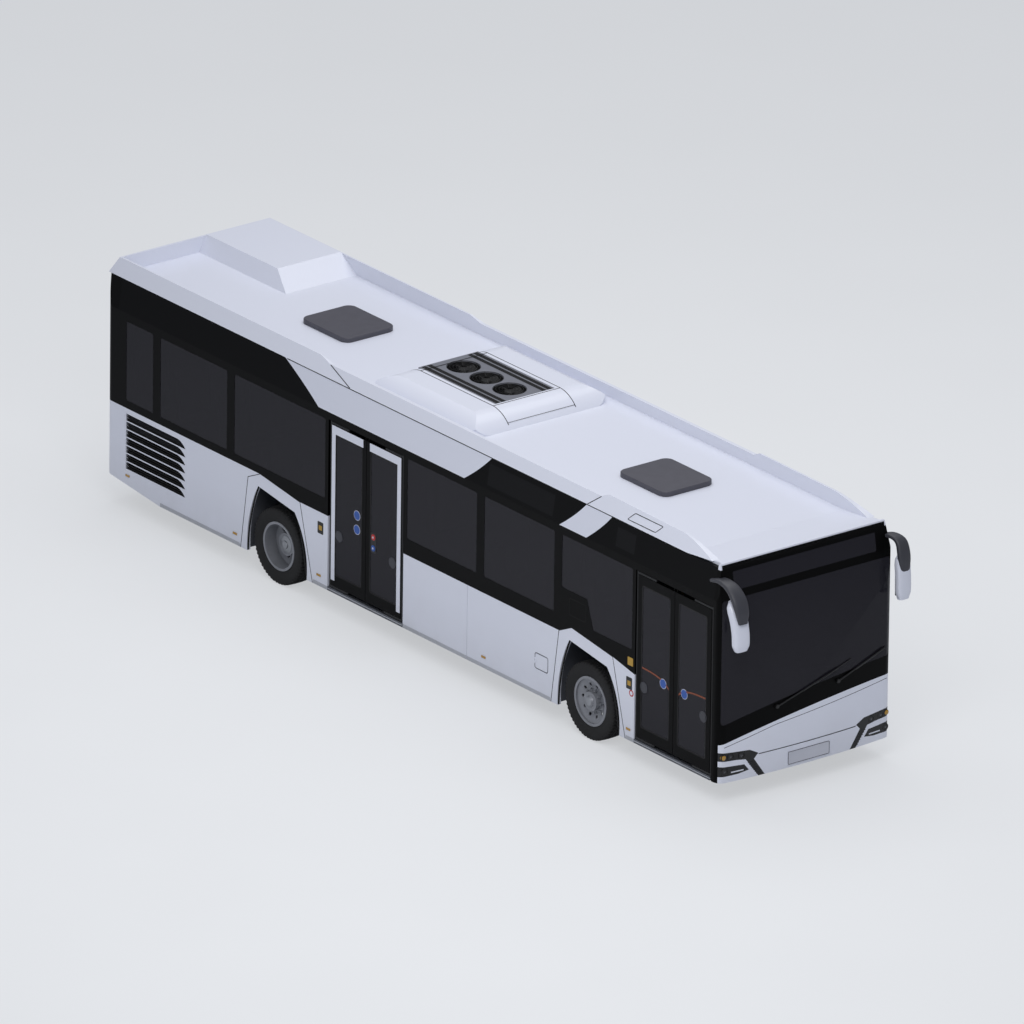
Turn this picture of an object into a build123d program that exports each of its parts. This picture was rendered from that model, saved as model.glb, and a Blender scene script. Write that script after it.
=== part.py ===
from build123d import *
from math import asin, cos, degrees, hypot, pi, sin, sqrt
import os

# Two-axle low-floor passenger bus, 12 m long, with a double door ahead of the
# front axle and one ahead of the rear axle. Millimetres. The origin lies on the
# ground under the middle of the overall box, +Z is up, the bus drives towards -Y
# and its doors are on the -X side. A station S is the distance behind the
# foremost point of the front panel, and st(S) is its Y.

# Overall body
BODY_LENGTH = 12000.0
BODY_WIDTH = 2550.0
MIRROR_REACH = 330.0        # mirrors stand this far ahead of the front panel
SKIRT_Z = 270.0             # lower edge of the skirts above the ground
CREASE_Z = 2531.0           # edge where the side starts to lean in
DECK_Z = 2916.0             # roof deck and upper edge of the cantrail
CANTRAIL_LEAN = 60.0
WALL = 50.0                 # side, front and rear walls
ROOF_T = 50.0
END_BULGE = 71.0            # front and rear faces curve out by this in plan
CORNER_R = 110.0
PANEL_GAP = 6.0
FRONT_MODULE = 206.0        # station where the front module meets the side
REAR_MODULE = 300.0         # length of the rear module
FRONT_KNEE_Z = 1200.0       # the front leans back above this height
FRONT_LEAN = 170.0
FRONT_TOP_Z = 2965.0
CAP_LENGTH = 620.0          # front roof cap falls to the deck over this length
CAP_CHAMFER = 150.0
REAR_LEAN = 20.0
REAR_SKIRT_RISE = 122.0
REAR_RISE_LENGTH = 1140.0

# Parapets along the roof
PARAPET_LEAN = 94.0
PARAPET_REAR_H = 193.0
PARAPET_MID_H = 143.0
PARAPET_T = 22.0
PARAPET_REAR_INSET = 115.0
REAR_FAIRING_AHEAD = 662.0  # the tall rear fairing starts this far ahead of the rear axle
REAR_FAIRING_DROP = 214.0
FRONT_FAIRING_S = 2486.0
FRONT_FAIRING_STEP = 111.0
FRONT_FAIRING_KNEE = 941.0
FRONT_FAIRING_TIP = 240.0

# Axles and wheels
FRONT_AXLE_S = 2560.0
REAR_OVERHANG = 3418.0
TYRE_R = 479.0
TYRE_W = 280.0
RIM_R = 286.0
RIM_FLANGE_R = 303.0
RIM_T = 14.0
RIM_HALF = 110.0
WHEEL_X = 1098.0            # middle plane of the outer wheels
TWIN_SPACING = 312.0
KINGPIN_X = 930.0
KINGPIN_R = 25.0
STUB_R = 42.0
REAR_STUB_R = 75.0
FIT = 0.3                   # radial clearance of turning fits
HAND_HOLES = 10
HAND_HOLE_R = 21.0
HAND_HOLE_AT = 197.0        # distance of the hand holes from the wheel's axis

# Wheel arches, from the wheel centre: R is towards the rear, F to the front
ARCH_HALF = 560.0
ARCH_OFFSET = -20.0
ARCH_TOP_R = (337.0, 1155.0)
ARCH_TOP_F = (-378.0, 1050.0)
TRIM_BOTTOM = (672.0, -739.0)
TRIM_CORNER_R = 538.0
TRIM_TOP = (300.0, 1321.0)
TRIM_CORNER_F = -482.0
BOX_HALF = 620.0            # half length of the inner wheel boxes
BOX_TOP_Z = 1180.0
BOX_T = 20.0
FRONT_BOX_X = 590.0
REAR_BOX_X = 520.0

# Skirts
SKIRT_TOP_REAR = 1318.0
SKIRT_TOP_MID = 1211.0
SKIRT_TOP_DOOR = 1124.0
MASK_SIDE_Z = 1068.0        # white edge at the driver's side front corner

# Doors
DOOR1_S = 206.0
DOOR1_W = 1454.0
DOOR2_REAR_GAP = 1027.0     # rear post of the middle door ahead of the rear axle
DOOR2_W = 1470.0
DOOR1_POCKET = 42.0         # room for the turning pillar beside each leaf
DOOR2_POCKET = 60.0
LEAF_GAP = 10.0
LEAF_T = 35.0
LEAF_BOTTOM = 362.0
LEAF_TOP = 2394.0
LEAF_STILE = 80.0
LEAF_GLASS_Z = (507.0, 2276.0)
DOOR_TOP = 2440.0
PILLAR_R = 14.0
PILLAR_INSET = 22.0         # pillar axis beyond the leaf's outer edge
DOOR_PLANE = 22.0           # middle of the leaf behind the outer surface
ROLLER_INSET = 25.0
ARM_T = 26.0
ARM_W = 28.0
ARM_GAP = 6.0
DOOR_PIN_R = 9.0
TRACK_DEPTH = 30.0
TRACK_PLAY = 4.0

# Windows
SILL_Z = 1418.0
HEAD_Z = 2428.0
GLASS_T = 6.0
GLASS_INSET = 3.0
WINDOW_POST = 146.0
DOOR_POST = 62.0
REAR_BAY_SHARES = (0.4903, 0.3632, 0.1465)
REAR_PILLAR = 458.0
DRIVER_SILL_Z = 1250.0
FRONT_STEP = (-103.0, 14.0)  # step of the foremost sill, from the front axle
FRONT_STEP_Z = 1770.0

# Floor
FLOOR_Z = 318.0
FLOOR_T = 48.0
REAR_FLOOR_Z = 400.0
RAMP_LENGTH = 300.0
PODIUM_Z = 1060.0
PODIUM_BEHIND = 718.0       # front of the podium behind the rear axle
STEP_SIZE = (760.0, 280.0, 330.0)
CLEAR = 0.3
HINGE_PIN_R = 3.0

# Roof fittings
AC_LENGTH = 2080.0
AC_AHEAD = 1025.0           # front of the air conditioner ahead of the middle door
AC_TOP = 197.0
AC_HALF = 1040.0
AC_LID_HALF = 500.0
AC_SLOPE = 340.0
AC_CORNER_R = 260.0
AC_PLATE = (887.0, 1481.0)
AC_RECESS = 20.0
FAN_R = 202.0
FAN_PITCH = 444.0
FAN_DEPTH = 90.0
FAN_CLEAR = 8.0
HATCH_SIZE = (760.0, 900.0)
HATCH_T = 60.0
HATCH_R = 110.0
HATCH_HOLE = (620.0, 760.0)
HATCH_BEHIND = (182.0, 278.0)   # middle of each hatch behind the front and the rear axle
POD_BASE = 1861.0           # foot and top edge of the raised cover, from the rear end
POD_EDGE = 1547.0
POD_H = 205.0
POD_X = (42.0, 150.0)

FRONT_Y = (MIRROR_REACH - BODY_LENGTH) / 2
HALF = BODY_WIDTH / 2
REAR_AXLE_S = BODY_LENGTH - REAR_OVERHANG
REAR_SPLIT = BODY_LENGTH - REAR_MODULE
DOOR2_S = REAR_AXLE_S - DOOR2_REAR_GAP - DOOR2_W
SEAM_S = DOOR2_S - 1236.0
RAMP_S = DOOR2_S + DOOR2_W + 60.0
PODIUM_S = REAR_AXLE_S + PODIUM_BEHIND
AC_S = (DOOR2_S - AC_AHEAD, DOOR2_S - AC_AHEAD + AC_LENGTH)
HATCH_S = (FRONT_AXLE_S + HATCH_BEHIND[0], REAR_AXLE_S + HATCH_BEHIND[1])
REAR_FAIRING_END = REAR_AXLE_S - REAR_FAIRING_AHEAD
POD_S = (BODY_LENGTH - POD_BASE, BODY_LENGTH - POD_EDGE)
CEILING_Z = DECK_Z - ROOF_T
FAR = 4000.0                # larger than any part of the body
SIDES = (-1, 1)             # door side, driver's side


def st(station):
    """Y of a station behind the front panel."""
    return FRONT_Y + station


def block(x, s, z):
    """Box between pairs of X, stations and Z."""
    size = (x[1] - x[0], s[1] - s[0], z[1] - z[0])
    centre = ((x[0] + x[1]) / 2, st((s[0] + s[1]) / 2), (z[0] + z[1]) / 2)
    return Pos(*centre) * Box(*size)


def side_face(points, radius=0.0):
    """Outline of stations and heights, with its corners rounded."""
    face = make_face(Polyline(*[(st(s), z) for s, z in points], close=True))
    return fillet(face.vertices(), radius) if radius else face


def side_prism(face, x0, x1):
    """Carries a side outline from x0 to x1."""
    return extrude(Plane.YZ.offset(x0) * face, x1 - x0)


def front_prism(face, s0, s1):
    """Carries an outline of X and Z from station s0 to s1."""
    return extrude(Plane.XZ.offset(-st(s0)) * face, -(s1 - s0))


def front_face(points, radius=0.0):
    face = make_face(Polyline(*points, close=True))
    return fillet(face.vertices(), radius) if radius else face


def rod(start, end, radius):
    """Round bar between two points."""
    axis = Vector(*end) - Vector(*start)
    return extrude(Plane(origin=start, z_dir=axis) * Circle(radius), axis.length)


def mirrored(part):
    """The part and its mirror image on the other side."""
    return [part, mirror(part, Plane.YZ)]


def fused(pieces):
    """One node of several solids that may touch or lie apart."""
    whole = pieces[0]
    for piece in pieces[1:]:
        whole = whole + piece
    return whole


def separate(pieces):
    """One node of solids that touch and stay solids of their own."""
    return Compound([solid for piece in pieces for solid in piece.solids()])


def barrel(centre, direction, length, radius):
    """Round bar about its middle."""
    return Plane(origin=centre, z_dir=direction) * Cylinder(radius, length)


class Hinge:
    """Butt hinge: two fixed knuckles with their pin and a turning one between."""

    def __init__(self, centre, direction, length, radius):
        self.centre = Vector(*centre)
        self.direction = Vector(*direction)
        self.third = length / 3
        self.radius = radius

    def bar(self, step, length, radius):
        return barrel(self.centre + self.direction * step, self.direction, length, radius)

    def fixed(self, gap=0.0):
        """Outer knuckles, or with a gap the room they need."""
        ends = [self.bar(i * self.third, self.third + 2 * gap, self.radius + gap) for i in (-1, 1)]
        return ends[0] + ends[1] + self.bar(0, 3 * self.third, HINGE_PIN_R + gap)

    def turning(self):
        """Middle knuckle, bored for the pin."""
        knuckle = self.bar(0, self.third - 2 * CLEAR, self.radius)
        return knuckle - self.bar(0, self.third, HINGE_PIN_R + FIT)

    def middle_room(self):
        return self.bar(0, self.third, self.radius + CLEAR)


def plan_outline(inset):
    """Plan of the body, ends bulged and corners rounded, at a wall depth."""
    half = HALF - inset
    front, rear = st(inset), st(BODY_LENGTH - inset)
    sides = Line((-half, front + END_BULGE), (-half, rear - END_BULGE))
    back = ThreePointArc((-half, rear - END_BULGE), (0, rear), (half, rear - END_BULGE))
    other = Line((half, rear - END_BULGE), (half, front + END_BULGE))
    nose = ThreePointArc((half, front + END_BULGE), (0, front), (-half, front + END_BULGE))
    face = make_face(sides + back + other + nose)
    return fillet(face.vertices(), CORNER_R - inset)


def section_outline(inset, low, high):
    """Cross-section: upright sides that lean in above the crease."""
    half = HALF - inset
    slope = CANTRAIL_LEAN / (DECK_Z - CREASE_Z)
    top = half - slope * (high - CREASE_Z)
    points = [(-half, low), (half, low), (half, CREASE_Z), (top, high), (-top, high),
              (-half, CREASE_Z)]
    return make_face(Polyline(*points, close=True))


def front_lean(z):
    """How far the front face lies behind its foremost line at a height."""
    rise = FRONT_TOP_Z - FRONT_KNEE_Z
    radius = (rise**2 + FRONT_LEAN**2) / (2 * FRONT_LEAN)
    above = max(z - FRONT_KNEE_Z, 0.0)
    return radius - sqrt(radius**2 - above**2)


def elevation_outline(inset, top_inset, low):
    """Side view: the front leans back in an arc, the roof falls from its cap."""
    knee = (st(inset), FRONT_KNEE_Z)
    mid_z = (FRONT_KNEE_Z + FRONT_TOP_Z) / 2
    crest_z = FRONT_TOP_Z - top_inset
    middle = (st(front_lean(mid_z) + inset), mid_z)
    crest = (st(front_lean(FRONT_TOP_Z) + inset), FRONT_TOP_Z - top_inset)
    rear = BODY_LENGTH - inset
    deck = DECK_Z - top_inset
    if top_inset:
        middle = (st(front_lean((FRONT_KNEE_Z + crest_z) / 2) + inset),
                  (FRONT_KNEE_Z + crest_z) / 2)
        crest = (st(front_lean(crest_z) + inset), crest_z)
    outline = (
        Line((st(inset), low), knee)
        + ThreePointArc(knee, middle, crest)
        + Line(crest, (st(FRONT_LEAN + CAP_LENGTH), deck))
        + Line((st(FRONT_LEAN + CAP_LENGTH), deck), (st(rear - REAR_LEAN), deck))
        + Line((st(rear - REAR_LEAN), deck), (st(rear), CREASE_Z))
        + Line((st(rear), CREASE_Z), (st(rear), low))
        + Line((st(rear), low), (st(inset), low))
    )
    return make_face(outline)


def envelope(inset, top_inset, low):
    """Solid inside the body's surface, at a depth behind it."""
    plan = extrude(Plane.XY.offset(low) * plan_outline(inset), FAR)
    section = front_prism(section_outline(inset, low, FRONT_TOP_Z), 0, BODY_LENGTH)
    elevation = side_prism(elevation_outline(inset, top_inset, low), -HALF, HALF)
    return plan & section & elevation


def body_shell():
    """Outer walls and roof as one skin, which the panels are cut from."""
    return envelope(0, 0, SKIRT_Z) - envelope(WALL, ROOF_T, SKIRT_Z - WALL)


def arch_edge(wheel_s, outline):
    """Points of a wheel arch moved to a wheel."""
    return [(wheel_s + s, z) for s, z in outline]


def arch_face(wheel_s):
    """Arch opening: sides bow out, the top falls towards the front."""
    centre = wheel_s + ARCH_OFFSET
    low = SKIRT_Z - WALL
    rear, front = st(centre + ARCH_HALF), st(centre - ARCH_HALF - 2 * BOX_T)
    top_r = (st(wheel_s + ARCH_TOP_R[0]), ARCH_TOP_R[1])
    top_f = (st(wheel_s + ARCH_TOP_F[0]), ARCH_TOP_F[1])
    mid_r = (rear - 45, 776)
    mid_f = (front + 38, 690)
    outline = (
        Line((front, low), (rear, low))
        + ThreePointArc((rear, low), mid_r, top_r)
        + Line(top_r, top_f)
        + ThreePointArc(top_f, mid_f, (front, low))
    )
    return make_face(outline)


def trim_face(wheel_s):
    """Outer edge of the arch trim, whose upper edge ends the skirt's white."""
    points = [(TRIM_BOTTOM[0], SKIRT_Z - 1), (TRIM_CORNER_R, SKIRT_TOP_MID), TRIM_TOP,
              (TRIM_CORNER_F, SKIRT_TOP_MID), (TRIM_BOTTOM[1], SKIRT_Z - 1)]
    return side_face(arch_edge(wheel_s, points))


def skirt_face(side):
    """White lower part of a side, up to the edge of the dark window band."""
    door_1_end = DOOR1_S + DOOR1_W if side < 0 else FRONT_MODULE
    front_top = SKIRT_TOP_DOOR if side < 0 else MASK_SIDE_Z
    points = [
        (door_1_end, SKIRT_Z), (door_1_end, front_top),
        (FRONT_AXLE_S + TRIM_CORNER_F, SKIRT_TOP_MID),
        (FRONT_AXLE_S + TRIM_TOP[0], TRIM_TOP[1]),
        (FRONT_AXLE_S + TRIM_CORNER_R, SKIRT_TOP_MID),
        (REAR_AXLE_S + TRIM_CORNER_F, SKIRT_TOP_MID),
        (REAR_AXLE_S + TRIM_TOP[0], TRIM_TOP[1]),
        (REAR_AXLE_S + TRIM_TOP[0] + 10, SKIRT_TOP_REAR),
        (REAR_SPLIT, SKIRT_TOP_REAR), (REAR_SPLIT, SKIRT_Z),
    ]
    return side_face(points)


def rear_rise():
    """Wedge below the rising rear skirt."""
    start = BODY_LENGTH - REAR_RISE_LENGTH
    points = [(start, SKIRT_Z - 1), (BODY_LENGTH + 10, SKIRT_Z - 1),
              (BODY_LENGTH + 10, SKIRT_Z + REAR_SKIRT_RISE), (start, SKIRT_Z)]
    return side_prism(side_face(points), -HALF - 10, HALF + 10)


def side_zone(side):
    """Room of one side wall between the front and rear modules."""
    x = sorted((side * (HALF + 10), side * (HALF - WALL - CANTRAIL_LEAN - 1)))
    return block(x, (FRONT_MODULE, REAR_SPLIT), (SKIRT_Z - 1, DECK_Z + 200))


def doorway(start, width):
    """Opening of a double door through the door-side wall."""
    x = (-HALF - 10, -HALF + WALL + 1)
    return block(x, (start, start + width), (SKIRT_Z - 2, DOOR_TOP))


def window_bays(side):
    """Stations and sill of every side window on one side."""
    bays = []
    start = DOOR1_S + DOOR1_W + DOOR_POST
    stop = DOOR2_S - DOOR_POST
    width = (stop - start - 2 * WINDOW_POST) / 3
    for i in range(3):
        low = start + i * (width + WINDOW_POST)
        bays.append((low, low + width))
    if side > 0:
        bays.append((DOOR2_S + DOOR_POST, DOOR2_S + DOOR2_W - DOOR_POST))
    start = DOOR2_S + DOOR2_W + DOOR_POST
    glazed = BODY_LENGTH - REAR_PILLAR - start - 2 * WINDOW_POST
    for share in REAR_BAY_SHARES:
        bays.append((start, start + share * glazed))
        start += share * glazed + WINDOW_POST
    return bays


def window_face(bay, index, grow=0.0):
    """Outline of one side window, the foremost with its stepped sill."""
    s0, s1 = bay[0] - grow, bay[1] + grow
    low, high = SILL_Z - grow, HEAD_Z + grow
    if index == 0:
        step = [FRONT_AXLE_S + offset for offset in FRONT_STEP]
        points = [(s0, low), (step[0], low), (step[1], FRONT_STEP_Z),
                  (s1, FRONT_STEP_Z), (s1, high), (s0, high)]
        return side_face(points, 24)
    return side_face([(s0, low), (s1, low), (s1, high), (s0, high)], 24)


def driver_window_face():
    bay = (FRONT_MODULE + 150, DOOR1_S + DOOR1_W - DOOR_POST)
    return side_face([(bay[0], DRIVER_SILL_Z), (bay[1], DRIVER_SILL_Z),
                      (bay[1], HEAD_Z), (bay[0], HEAD_Z)], 40)


def window_faces(side):
    faces = [window_face(bay, i) for i, bay in enumerate(window_bays(side))]
    return faces + [driver_window_face()] if side > 0 else faces


def side_wall(shell, side):
    """Dark window band of one side, from the white edge to the crease."""
    wall = shell & side_zone(side)
    wall -= side_prism(skirt_face(side), -FAR, FAR)
    wall -= block((-FAR, FAR), (0, BODY_LENGTH), (CREASE_Z, FAR))
    for face in window_faces(side):
        x = sorted((side * (HALF + 10), side * (HALF - WALL - 1)))
        wall -= side_prism(face, *x)
    return wall if side > 0 else door_side_panels(wall)


def door_side_panels(wall):
    """Door side as its real panels: header, wall panels and the lips of the door tracks."""
    rail_z = DOOR_TOP + TRACK_DEPTH
    x, everywhere = (-FAR, FAR), (0, BODY_LENGTH)
    header = wall & block(x, everywhere, (rail_z, CREASE_Z))
    lower = wall & block(x, everywhere, (SKIRT_Z, rail_z))
    half = DOOR_PIN_R + TRACK_PLAY
    for start, width in ((DOOR1_S, DOOR1_W), (DOOR2_S, DOOR2_W)):
        lower -= doorway(start, width)
        lower -= block((-HALF + DOOR_PLANE - half, -HALF + DOOR_PLANE + half),
                       (start, start + width), (DOOR_TOP - 1, rail_z))
        lower -= block(x, (start - CLEAR, start), (DOOR_TOP - 1, rail_z))
        lower -= block(x, (start + width, start + width + CLEAR), (DOOR_TOP - 1, rail_z))
    return separate([header, lower])


def skirt(shell, side):
    """White skirt panels of one side, with gaps between the real panels."""
    white = shell & side_zone(side) & side_prism(skirt_face(side), -FAR, FAR)
    for wheel_s in (FRONT_AXLE_S, REAR_AXLE_S):
        white -= side_prism(trim_face(wheel_s), -FAR, FAR)
    white -= rear_rise()
    if side < 0:
        white -= doorway(DOOR2_S, DOOR2_W)
        white -= fuel_recess()
        white -= louvre_slots()
    cuts = [SEAM_S] if side < 0 else [SEAM_S, DOOR2_S + DOOR2_W / 2]
    for s in cuts:
        x = (-FAR, FAR)
        white -= block(x, (s - PANEL_GAP / 2, s + PANEL_GAP / 2), (SKIRT_Z - 1, SKIRT_TOP_MID))
    if side < 0:
        white += FUEL_HINGE.fixed() + fuel_strap(FUEL_HINGE.third, (2, FUEL_STRAP), 1)
        white -= FUEL_HINGE.middle_room()
    return white


def arch_trims(shell):
    """Four trims round the wheel arches."""
    trims = []
    for side in SIDES:
        for wheel_s in (FRONT_AXLE_S, REAR_AXLE_S):
            ring = shell & side_zone(side) & side_prism(trim_face(wheel_s), -FAR, FAR)
            trims.append(ring - side_prism(arch_face(wheel_s), -FAR, FAR))
    return fused(trims)


def cantrails(shell):
    """Leaning band above the crease on both sides, up to the roof deck."""
    rails = []
    for side in SIDES:
        rail = shell & side_zone(side)
        rail &= block((-FAR, FAR), (0, BODY_LENGTH), (CREASE_Z, DECK_Z))
        rails.append(rail - roof_zone())
    return fused(rails)


def roof_zone():
    """Room of the roof panel, between the cantrails."""
    edge = HALF - WALL - CANTRAIL_LEAN
    return block((-edge, edge), (FRONT_MODULE, BODY_LENGTH), (CEILING_Z - 1, DECK_Z + 100))


LOUVRES = 7
LOUVRE_PITCH = 103.0
LOUVRE_H = 88.0
LOUVRE_Z = 544.0
LOUVRE_S = (BODY_LENGTH - 1642.0, BODY_LENGTH - 458.0)
LOUVRE_TIP = 160.0


def louvre_slots():
    """Seven slots of the engine grille, their front ends drawn out to a tip."""
    slots = []
    for i in range(LOUVRES):
        low = LOUVRE_Z + i * LOUVRE_PITCH
        tip, rear = (st(LOUVRE_S[0]), low), (st(LOUVRE_S[1]), low)
        top_r, top_f = (rear[0], low + LOUVRE_H), (tip[0] + LOUVRE_TIP, low + LOUVRE_H)
        bow = (tip[0] + LOUVRE_TIP * 0.42, low + LOUVRE_H * 0.66)
        outline = (Line(tip, rear) + Line(rear, top_r) + Line(top_r, top_f)
                   + ThreePointArc(top_f, bow, tip))
        slots.append(side_prism(make_face(outline), -HALF - 10, -HALF + WALL + 1))
    return fused(slots)


FUEL_S = (FRONT_AXLE_S + 740.0, FRONT_AXLE_S + 982.0)
FUEL_Z = (600.0, 789.0)
FUEL_T = 20.0
FUEL_GAP = 5.0
FUEL_R = 34.0
FUEL_STRAP = 26.0
FUEL_HINGE = Hinge((-HALF, st(FUEL_S[1] - FUEL_GAP), (FUEL_Z[0] + FUEL_Z[1]) / 2), (0, 0, 1), 72, 6)


def fuel_recess():
    """Shallow seat of the filler flap in the skirt."""
    return side_prism(fuel_face(0), -HALF - 10, -HALF + FUEL_T + CLEAR)


def fuel_face(gap):
    s0, s1, z0, z1 = FUEL_S[0] + gap, FUEL_S[1] - gap, FUEL_Z[0] + gap, FUEL_Z[1] - gap
    return side_face([(s0, z0), (s1, z0), (s1, z1), (s0, z1)], FUEL_R - gap)


def fuel_strap(third, along, ends):
    """Strap of the filler hinge on the outer surface, beside each knuckle of one side."""
    s = sorted(FUEL_S[1] - FUEL_GAP + a for a in along)
    mid = (FUEL_Z[0] + FUEL_Z[1]) / 2
    straps = []
    for i in {-ends, ends}:
        z = (mid + (i - 0.4) * third, mid + (i + 0.4) * third)
        straps.append(block((-HALF - 3, -HALF + 8), s, z))
    return fused(straps)


def fuel_flap():
    """Filler flap with the turning knuckle of its hinge."""
    flap = side_prism(fuel_face(FUEL_GAP), -HALF, -HALF + FUEL_T) - FUEL_HINGE.fixed(CLEAR)
    strap = fuel_strap(FUEL_HINGE.third, (-FUEL_STRAP, 0), 0) - FUEL_HINGE.fixed(CLEAR)
    return flap + FUEL_HINGE.turning() + strap


# Front module: edges as heights at the door side, the middle and driver's side
MASK_TOP = ((-1262.0, 743.0), (-490.0, 900.0), (1262.0, 1070.0))
SCREEN_LOW = ((-1240.0, 981.0), (-490.0, 1136.0), (1240.0, 1302.0))
SCREEN_TOP = 2530.0
MASK_HALF = 1256.0
BUMPER_SEAM_Z = 541.0
DEST_HALF = 1050.0
DEST_Z = (2625.0, 2850.0)
LAMP_STRIP = ((-1300, 545), (-1025, 528), (-900, 510), (-718, 269), (-628, 269),
              (-783, 492), (-725, 556), (-843, 617), (-1300, 652))
LOWER_GRILLE = ((-1300, 348), (-1000, 350), (-853, 372), (-917, 452), (-1300, 477))
LAMPS = ((-1205.0, 588.0, 34.0), (-1110.0, 580.0, 45.0), (-960.0, 568.0, 45.0),
         (-1190.0, 408.0, 46.0))
LAMP_DEPTH = 20.0
PLATE_PAD = (312.0, 309.0, 475.0)   # half width, lower and upper edge
PLATE_PROUD = 6.0


def front_zone(shell):
    return shell & block((-FAR, FAR), (-1, FRONT_MODULE), (SKIRT_Z - 1, FAR))


def under_curve(edge, low):
    """Outline below an edge given by three points, down to a height."""
    (x0, z0), (xm, zm), (x1, z1) = edge
    outline = (ThreePointArc((x0, z0), (xm, zm), (x1, z1)) + Line((x1, z1), (x1, low))
               + Line((x1, low), (x0, low)) + Line((x0, low), (x0, z0)))
    return make_face(outline)


def screen_face():
    """Windscreen: its sill rises towards the driver's side."""
    (x0, z0), (xm, zm), (x1, z1) = SCREEN_LOW
    outline = (ThreePointArc((x0, z0), (xm, zm), (x1, z1)) + Line((x1, z1), (x1, SCREEN_TOP))
               + Line((x1, SCREEN_TOP), (x0, SCREEN_TOP)) + Line((x0, SCREEN_TOP), (x0, z0)))
    face = make_face(outline)
    return fillet(face.vertices(), 40)


def destination_face():
    low, high = DEST_Z
    return front_face([(-DEST_HALF, low), (DEST_HALF, low), (DEST_HALF, high),
                       (-DEST_HALF, high)], 16)


def mask_zone():
    return front_prism(under_curve(MASK_TOP, 0), -10, FRONT_MODULE) & block(
        (-MASK_HALF, MASK_HALF), (-10, FRONT_MODULE), (SKIRT_Z - 1, FAR))


def lamp_zone():
    """Dark strips of both lamp clusters, running down to the lower edge."""
    strip = front_prism(front_face(LAMP_STRIP), -10, FRONT_MODULE)
    lower = front_prism(front_face(LOWER_GRILLE), -10, FRONT_MODULE)
    return fused(mirrored(strip) + mirrored(lower))


def front_frame(shell):
    """Dark surround of the windscreen with the corner posts and header."""
    frame = front_zone(shell) - mask_zone()
    frame -= front_prism(screen_face(), -10, FRONT_MODULE + 10)
    frame -= front_prism(destination_face(), -10, FRONT_MODULE + 10)
    return frame - cap_zone()


def cap_zone():
    """Room of the white roof cap above the header."""
    return block((-FAR, FAR), (FRONT_LEAN - 20, BODY_LENGTH), (DECK_Z - 20, FAR))


def front_mask(shell):
    """White front panel and bumper, with the seam between them."""
    mask = (front_zone(shell) & mask_zone()) - lamp_zone()
    seam = block((-780, 780), (-10, FRONT_MODULE), (BUMPER_SEAM_Z, BUMPER_SEAM_Z + PANEL_GAP))
    half, low, high = PLATE_PAD
    return mask - seam + block((-half, half), (-PLATE_PROUD, WALL / 2), (low, high))


def lamp_housings(shell):
    """Dark lamp strips, bored for the lamps."""
    housing = front_zone(shell) & mask_zone() & lamp_zone()
    return housing - lamp_cylinders(0)


def lamp_cylinders(gap):
    """Round lamps of both clusters, running aft through the front panel."""
    lamps = []
    for x, z, radius in LAMPS:
        lamp = Plane.XZ.offset(-st(FRONT_MODULE)) * Pos(x, z) * Circle(radius - gap)
        lamps += mirrored(extrude(lamp, FRONT_MODULE + 10))
    return fused(lamps)


def front_lamps(shell, amber):
    """Lamp inserts behind the front surface: the outer upper one is amber."""
    lens_zone = envelope(4, ROOF_T, SKIRT_Z) - envelope(4 + LAMP_DEPTH, ROOF_T, 0)
    wanted = LAMPS[:1] if amber else LAMPS[1:]
    lamps = []
    for x, z, radius in wanted:
        lamp = Plane.XZ.offset(-st(FRONT_MODULE)) * Pos(x, z) * Circle(radius)
        lamps += mirrored(extrude(lamp, FRONT_MODULE + 10))
    return fused(lamps) & lens_zone


def glass_skin():
    """Thin layer just behind the outer surface, which panes are cut from."""
    return envelope(GLASS_INSET, ROOF_T, SKIRT_Z) - envelope(GLASS_INSET + GLASS_T, ROOF_T, 0)


def front_glass(skin):
    panes = front_prism(screen_face(), -10, FRONT_MODULE) + front_prism(
        destination_face(), -10, FRONT_MODULE)
    return skin & panes


def saloon_windows(skin):
    """Panes of both sides and the rear, flush in their openings."""
    panes = []
    for side in SIDES:
        x = sorted((side * (HALF + 10), side * (HALF - WALL)))
        for face in window_faces(side):
            panes.append(skin & side_prism(face, *x))
    panes.append(skin & rear_window_zone())
    return fused(panes)


# Rear module
REAR_WINDOW = (880.0, 1560.0, 2420.0)
REAR_WHITE_Z = 1318.0
FLAP_HALF = 860.0
FLAP_Z = (520.0, 1290.0)
FLAP_GAP = 6.0
TAIL_LAMPS = ((1130.0, 1120.0), (1130.0, 980.0), (1130.0, 840.0))
TAIL_LAMP_R = 55.0
FLAP_HINGES = [Hinge((x, st(BODY_LENGTH), FLAP_Z[1] - FLAP_GAP), (1, 0, 0), 120, 9)
               for x in (-FLAP_HALF * 0.28, FLAP_HALF * 0.28)]
STRAP = 30.0


def rear_zone(shell):
    zone = shell & block((-FAR, FAR), (REAR_SPLIT, BODY_LENGTH + 10), (SKIRT_Z - 1, FAR))
    return zone - rear_rise()


def rear_window_zone():
    half, low, high = REAR_WINDOW
    face = front_face([(-half, low), (half, low), (half, high), (-half, high)], 60)
    return front_prism(face, REAR_SPLIT, BODY_LENGTH + 10)


def rear_frame(shell):
    """Dark upper rear with the rear window's opening."""
    frame = rear_zone(shell) & block(
        (-FAR, FAR), (REAR_SPLIT, BODY_LENGTH + 10), (REAR_WHITE_Z, DECK_Z))
    return frame - rear_window_zone() - roof_zone()


def flap_zone(gap):
    x = (-FLAP_HALF + gap, FLAP_HALF - gap)
    return block(x, (REAR_SPLIT, BODY_LENGTH + 10), (FLAP_Z[0] + gap, FLAP_Z[1] - gap))


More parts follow.
